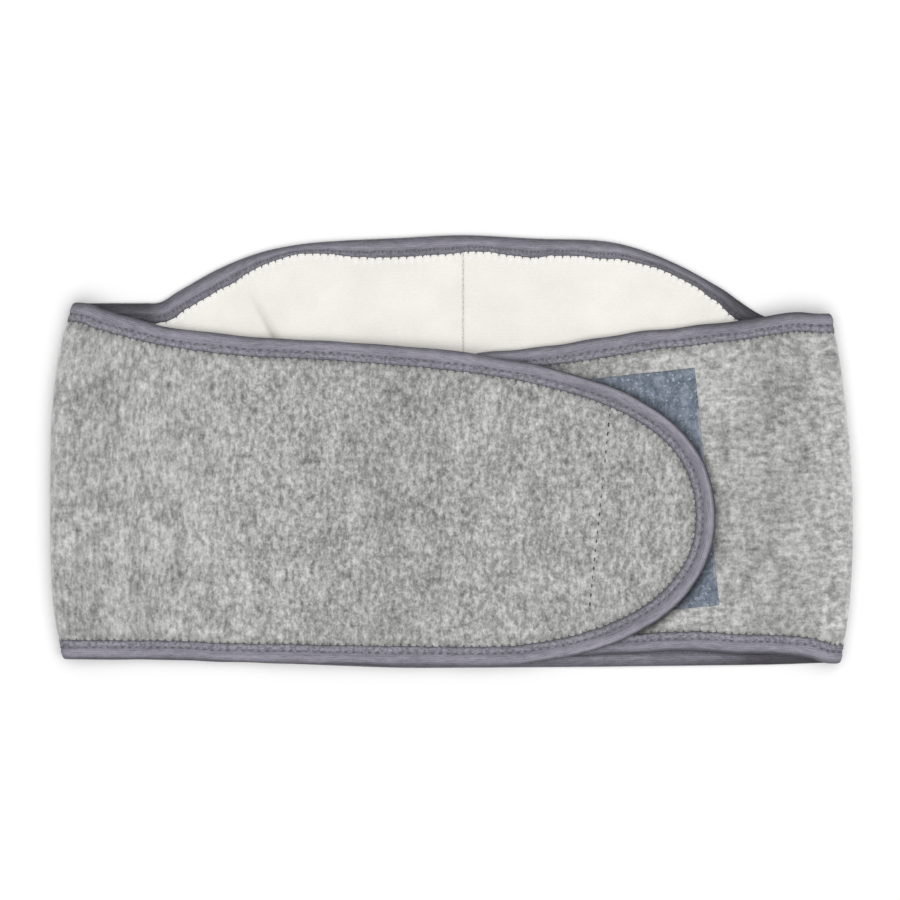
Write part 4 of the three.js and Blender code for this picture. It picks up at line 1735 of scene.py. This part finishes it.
@dataclass
class Stitches:
    """Rows of stitches, copied from one shaped stitch."""

    name: str
    slot: str
    finish: bpy.types.Material
    starts: list[Array] = field(default_factory=list)
    ends: list[Array] = field(default_factory=list)
    normals: list[Array] = field(default_factory=list)
    sizes: list[Array] = field(default_factory=list)
    sink: float = 0.24
    # Between which shares their lengths and their girths vary
    lengths: tuple[float, float] = (0.7, 1.15)
    girths: tuple[float, float] = (0.75, 1.15)
    fibre_length: float = 4.0
    fibre_shift: float = 7.3
    draw: np.random.Generator = field(default_factory=lambda: np.random.default_rng(3))

    @staticmethod
    def model() -> tuple[Array, Array]:
        """One stitch of length, width and height 1 along X.

        Returns:
            Its points and its triangles.
        """
        turn = (0, math.pi / 2, 0)
        bpy.ops.object.select_all(action="DESELECT")
        bpy.ops.mesh.primitive_uv_sphere_add(segments=6, ring_count=5, radius=0.5, rotation=turn)
        stitch = bpy.context.object
        bpy.ops.object.transform_apply(location=True, rotation=True, scale=True)
        bpy.ops.object.mode_set(mode="EDIT")
        bpy.ops.mesh.select_all(action="SELECT")
        bpy.ops.mesh.quads_convert_to_tris()
        bpy.ops.object.mode_set(mode="OBJECT")
        points = np.array([v.co for v in stitch.data.vertices])
        faces = np.array([p.vertices[:] for p in stitch.data.polygons])
        bpy.data.objects.remove(stitch)
        return points, faces

    def lay(self, starts: Array, ends: Array, normals: Array, width: float, height: float) -> None:
        """Notes a row of stitches.

        Args:
            starts: Where each stitch starts.
            ends: Where each stitch ends.
            normals: Directions out of the cloth.
            width: The thread's width.
            height: The thread's height.
        """
        out = normals / np.linalg.norm(normals, axis=1, keepdims=True)
        uneven = self.draw.uniform(0, 1, (3, len(starts), 1))
        middle = (starts + ends) / 2 - out * self.sink * uneven[0]
        reach = (ends - starts) / 2 * lerp(*self.lengths, uneven[1])
        self.starts.append(middle - reach)
        self.ends.append(middle + reach)
        self.normals.append(out)
        self.sizes.append(np.array((width, height)) * lerp(*self.girths, uneven[2]))

    def build(self) -> bpy.types.Object:
        """Makes all noted stitches as one piece.

        Returns:
            The new piece, tied to the frame.
        """
        shape, faces = self.model()
        noted = (self.starts, self.ends, self.normals, self.sizes)
        starts, ends, normals, sizes = (np.vstack(rows) for rows in noted)
        along = ends - starts
        length = np.linalg.norm(along, axis=1, keepdims=True)
        along = along / length
        across = np.cross(normals, along)
        across /= np.linalg.norm(across, axis=1, keepdims=True)
        up = np.cross(along, across)
        points = (
            ((starts + ends) / 2)[:, None]
            + along[:, None] * shape[None, :, :1] * length[:, None]
            + across[:, None] * shape[None, :, 1:2] * sizes[:, None, :1]
            + up[:, None] * shape[None, :, 2:3] * sizes[:, None, 1:]
        )
        number = np.arange(len(starts))[:, None, None]
        faces = (faces[None] + number * len(shape)).reshape(-1, 3)
        uv = np.stack([shape[:, 0] * self.fibre_length, shape[:, 1]], 1)[None] + number * self.fibre_shift
        piece = make_mesh(self.name, points.reshape(-1, 3), faces, uv.reshape(-1, 2))
        piece.data.materials.append(self.finish)
        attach(piece, BODY)
        return piece


@dataclass(frozen=True)
class StitchRow:
    """One row of stitches along the tape.

    Each end is given as (share of the tape's width, further distance), and each stitch reaches as far back as
    it reaches on.
    """

    near: tuple[float, float]
    far: tuple[float, float]
    reach: float
    width: float
    height: float
    each_pitch: int = 1


@dataclass
class EdgeStitching:
    """The stitches that hold the binding, on both faces."""

    binding: Binding
    finish: bpy.types.Material
    held_at: float = 5.0
    lift: float = 0.05
    outer_rows: tuple[StitchRow, ...] = (
        StitchRow((0.62, 0.0), (0.62, 0.0), 1.15, 1.2, 0.5),
        StitchRow((1.0, -1.1), (1.0, 0.9), 0.25, 0.8, 0.36),
    )
    lining_rows: tuple[StitchRow, ...] = (
        StitchRow((0.62, 0.0), (0.81, 0.0), 0.1, 0.75, 0.5, 2),
        StitchRow((0.79, 0.0), (1.0, 0.0), 0.1, 0.75, 0.5, 2),
        StitchRow((1.0, -0.6), (1.0, 0.9), 0.2, 0.5, 0.3),
    )

    def build(self, pattern: Pattern, side: Side) -> bpy.types.Object:
        """Builds the rows of one face.

        Args:
            pattern: The belt's pattern.
            side: The face.

        Returns:
            The new piece.
        """
        stitches = Stitches(f"binding_stitches_{side.name.lower()}", "binding_tape", self.finish)
        for row in self.outer_rows if side is Side.OUTER else self.lining_rows:
            count = round(pattern.length / pattern.pitch) * row.each_pitch
            along = np.arange(count) * pattern.length / count
            start = self._at(pattern, side, along - row.reach, row.near)
            end = self._at(pattern, side, along + row.reach, row.far)
            flat, _, _ = self._edge_frame(pattern, along, side)
            low, high = (pattern.place(*flat.T, h, self.held_at) for h in (0.0, float(side.value)))
            stitches.lay(start, end, high - low, row.width, row.height)
        return stitches.build()

    def _at(self, pattern: Pattern, side: Side, s: Array, place: tuple[float, float]) -> Array:
        """Points on the cloth or the tape beside the edge.

        Args:
            pattern: The belt's pattern.
            side: The face.
            s: Lengths along the outline.
            place: Share of the tape's width and further distance.

        Returns:
            The points.
        """
        flat, into, scale = self._edge_frame(pattern, s, side)
        full = pattern.BINDING_WIDTH * scale
        distance = place[0] * full + place[1]
        where = flat + into * distance[:, None]
        face = pattern.BINDING_FACE * self.binding.face_at(distance / scale)
        height = np.where(distance <= full, face, pattern.SQUEEZED + self.lift)
        inset = np.minimum(distance, pattern.BINDING_WIDTH)
        return pattern.place(where[:, 0], where[:, 1], side.value * height, inset)

    def _edge_frame(self, pattern: Pattern, s: Array, side: Side) -> tuple[Array, Array, Array]:
        """The outline and the tape at lengths along it.

        Args:
            pattern: The belt's pattern.
            s: The lengths.
            side: The face.

        Returns:
            Points, directions into the cloth and shares of the tape's full width.
        """
        grid = np.append(pattern.outline_s, pattern.length)
        rows = np.hstack([pattern.outline, pattern.into])
        rows = np.vstack([rows, rows[:1]])
        found = np.stack([np.interp(s % pattern.length, grid, rows[:, k]) for k in range(4)], 1)
        scale = self.binding.width(pattern, found[:, 0], found[:, 1], side) / pattern.BINDING_WIDTH
        return found[:, :2], found[:, 2:], scale


@dataclass
class LineStitching:
    """A straight row of stitches between two places of the pattern."""

    name: str
    slot: str
    finish: bpy.types.Material
    lines: tuple[Line, ...]
    level: float
    pitch: float
    length: float
    width: float
    height: float

    def build(self, pattern: Pattern) -> bpy.types.Object:
        """Builds the rows on the outer face.

        Args:
            pattern: The belt's pattern.

        Returns:
            The new piece.
        """
        stitches = Stitches(self.name, self.slot, self.finish)
        for start, end in self.lines:
            first, last = np.array(start), np.array(end)
            span = float(np.linalg.norm(last - first))
            way = (last - first) / span
            middles = first + way * np.arange(self.pitch / 2, span, self.pitch)[:, None]
            inset = np.full(len(middles), pattern.BINDING_WIDTH + pattern.PUFF_RUN + 1)
            ends = [middles + way * self.length * k for k in (-0.5, 0.5)]
            laid = [pattern.place(p[:, 0], p[:, 1], -self.level, inset) for p in ends]
            normals = np.tile((0.0, 0.0, 1.0), (len(middles), 1))
            stitches.lay(laid[0], laid[1], normals, self.width, self.height)
        return stitches.build()


@dataclass
class Studio:
    """Floor, lights and the camera straight above."""

    view_width: float = 0.4572
    view_middle: tuple[float, float] = (-0.00076, 0.00076)
    focus_level: float = 0.008
    lens: float = 300.0
    sensor: float = 36.0
    floor_size: float = 12.0
    floor_colour: Colour = (0.97, 0.97, 0.97, 1.0)
    floor_roughness: float = 0.9
    world_colour: Colour = (1.0, 1.0, 1.0, 1.0)
    world_level: float = 0.42
    lamp_place: Triple = (0.12, -0.25, 2.2)
    lamp_size: float = 2.8
    lamp_power: float = 49.1

    def build(self) -> None:
        """Builds the studio."""
        self._floor()
        self._world()
        self._lamp()
        self._camera()
        bpy.context.scene.view_settings.view_transform = "Standard"

    def _floor(self) -> None:
        """A plain pale floor."""
        bpy.ops.object.select_all(action="DESELECT")
        bpy.ops.mesh.primitive_plane_add(size=self.floor_size)
        floor = bpy.context.object
        floor.name = "floor"
        material = bpy.data.materials.new("floor_paper")
        material.use_nodes = True
        shader = material.node_tree.nodes["Principled BSDF"]
        shader.inputs["Base Color"].default_value = self.floor_colour
        shader.inputs["Roughness"].default_value = self.floor_roughness
        floor.data.materials.append(material)

    def _world(self) -> None:
        """Even white light from all sides."""
        world = bpy.data.worlds.new("studio")
        world.use_nodes = True
        back = world.node_tree.nodes["Background"]
        back.inputs["Color"].default_value = self.world_colour
        back.inputs["Strength"].default_value = self.world_level
        bpy.context.scene.world = world

    def _lamp(self) -> None:
        """A square soft light overhead that looks at the object."""
        data = bpy.data.lights.new("overhead", "AREA")
        data.size = self.lamp_size
        data.energy = self.lamp_power
        lamp = bpy.data.objects.new("overhead", data)
        bpy.context.scene.collection.objects.link(lamp)
        lamp.location = self.lamp_place
        lamp.rotation_euler = Vector(self.lamp_place).to_track_quat("Z", "Y").to_euler()
        lamp.visible_camera = False

    def _camera(self) -> None:
        """A long lens straight above the belt, upper edge up."""
        data = bpy.data.cameras.new("camera")
        data.lens = self.lens
        data.sensor_width = self.sensor
        distance = self.lens / self.sensor * self.view_width
        data.clip_end = distance * 4
        camera = bpy.data.objects.new("camera", data)
        camera.location = (*self.view_middle, self.focus_level + distance)
        bpy.context.scene.collection.objects.link(camera)
        bpy.context.scene.camera = camera


def report(piece: bpy.types.Object) -> None:
    """Logs one finished piece."""
    log.info("%s: %d faces", piece.name, len(piece.data.polygons))


def main() -> None:
    """Builds the binder and its studio."""
    logging.basicConfig(level=logging.INFO, format="%(name)s %(message)s")
    pattern = Pattern()
    effects = Effects()
    marl = MarlKnit("marl_knit", sheen=0.6).material(effects)
    fleece = FleeceCloth("cream_fleece", sheen=0.15).material(effects)
    tape = TapeCloth("lavender_tape", roughness=0.85, end_at=pattern.left_tip_at).material(effects)
    loops = LoopCloth("loop_cloth", sheen=0.2).material(effects)
    hooks = HookCloth("hook_cloth", roughness=0.6).material(effects)
    thread = Thread("lavender_thread").material(effects)
    blue = Thread("blue_thread", dark=(88.0, 98.0, 112.0), light=(132.0, 142.0, 156.0)).material(effects)
    dark = Thread("dark_thread", dark=(52.0, 52.0, 55.0), light=(92.0, 92.0, 94.0)).material(effects)

    binding = Binding("binding_tape", tape)
    panels = [
        Panel("knit_left", "outer_left", "outer_knit", LEFT, Side.OUTER, binding, marl),
        Panel("knit_right", "outer_right", "outer_knit", RIGHT, Side.OUTER, binding, marl),
        Panel("fleece_left", "lining_left", "lining_fleece", LEFT, Side.LINING, binding, fleece),
        Panel("fleece_right", "lining_right", "lining_fleece", RIGHT, Side.LINING, binding, fleece),
    ]
    for panel in panels:
        piece = panel.build(pattern)
        panel.dress(pattern, piece)
        report(piece)

    piece = binding.build(pattern)
    binding.dress(pattern, piece)
    report(piece)

    stitching = EdgeStitching(binding, thread)
    for side in Side:
        report(stitching.build(pattern, side))

    patch_level = pattern.FACE + pattern.GAP
    patches = [
        Patch(
            name="loop_cloth",
            node="loop_patch",
            slot="loop_tape",
            half=RIGHT,
            middle=(60.75, -25.0),
            size=(139.0, 121.0),
            bottom=patch_level,
            thickness=0.9,
            finish=loops,
        ),
        Patch(
            name="hook_cloth",
            node="hook_patch",
            slot="hook_tape",
            half=LEFT,
            middle=pattern.HOOK_MIDDLE,
            size=pattern.HOOK_SIZE,
            bottom=patch_level,
            thickness=1.0,
            finish=hooks,
        ),
    ]
    for patch in patches:
        piece = patch.build(pattern)
        patch.dress(piece)
        report(piece)

    rows = [
        LineStitching(
            name="hook_stitches",
            slot="hook_tape",
            finish=dark,
            lines=(pattern.hook_line(),),
            level=pattern.FACE - 0.22,
            pitch=4.57,
            length=2.4,
            width=1.0,
            height=0.5,
        ),
        LineStitching(
            name="loop_stitches",
            slot="loop_tape",
            finish=blue,
            lines=patches[0].border(pattern, 1.7),
            level=patch_level + 0.75,
            pitch=2.7,
            length=1.7,
            width=0.5,
            height=0.4,
        ),
    ]
    for row in rows:
        report(row.build(pattern))

    Studio().build()


if __name__ == "__main__":
    main()
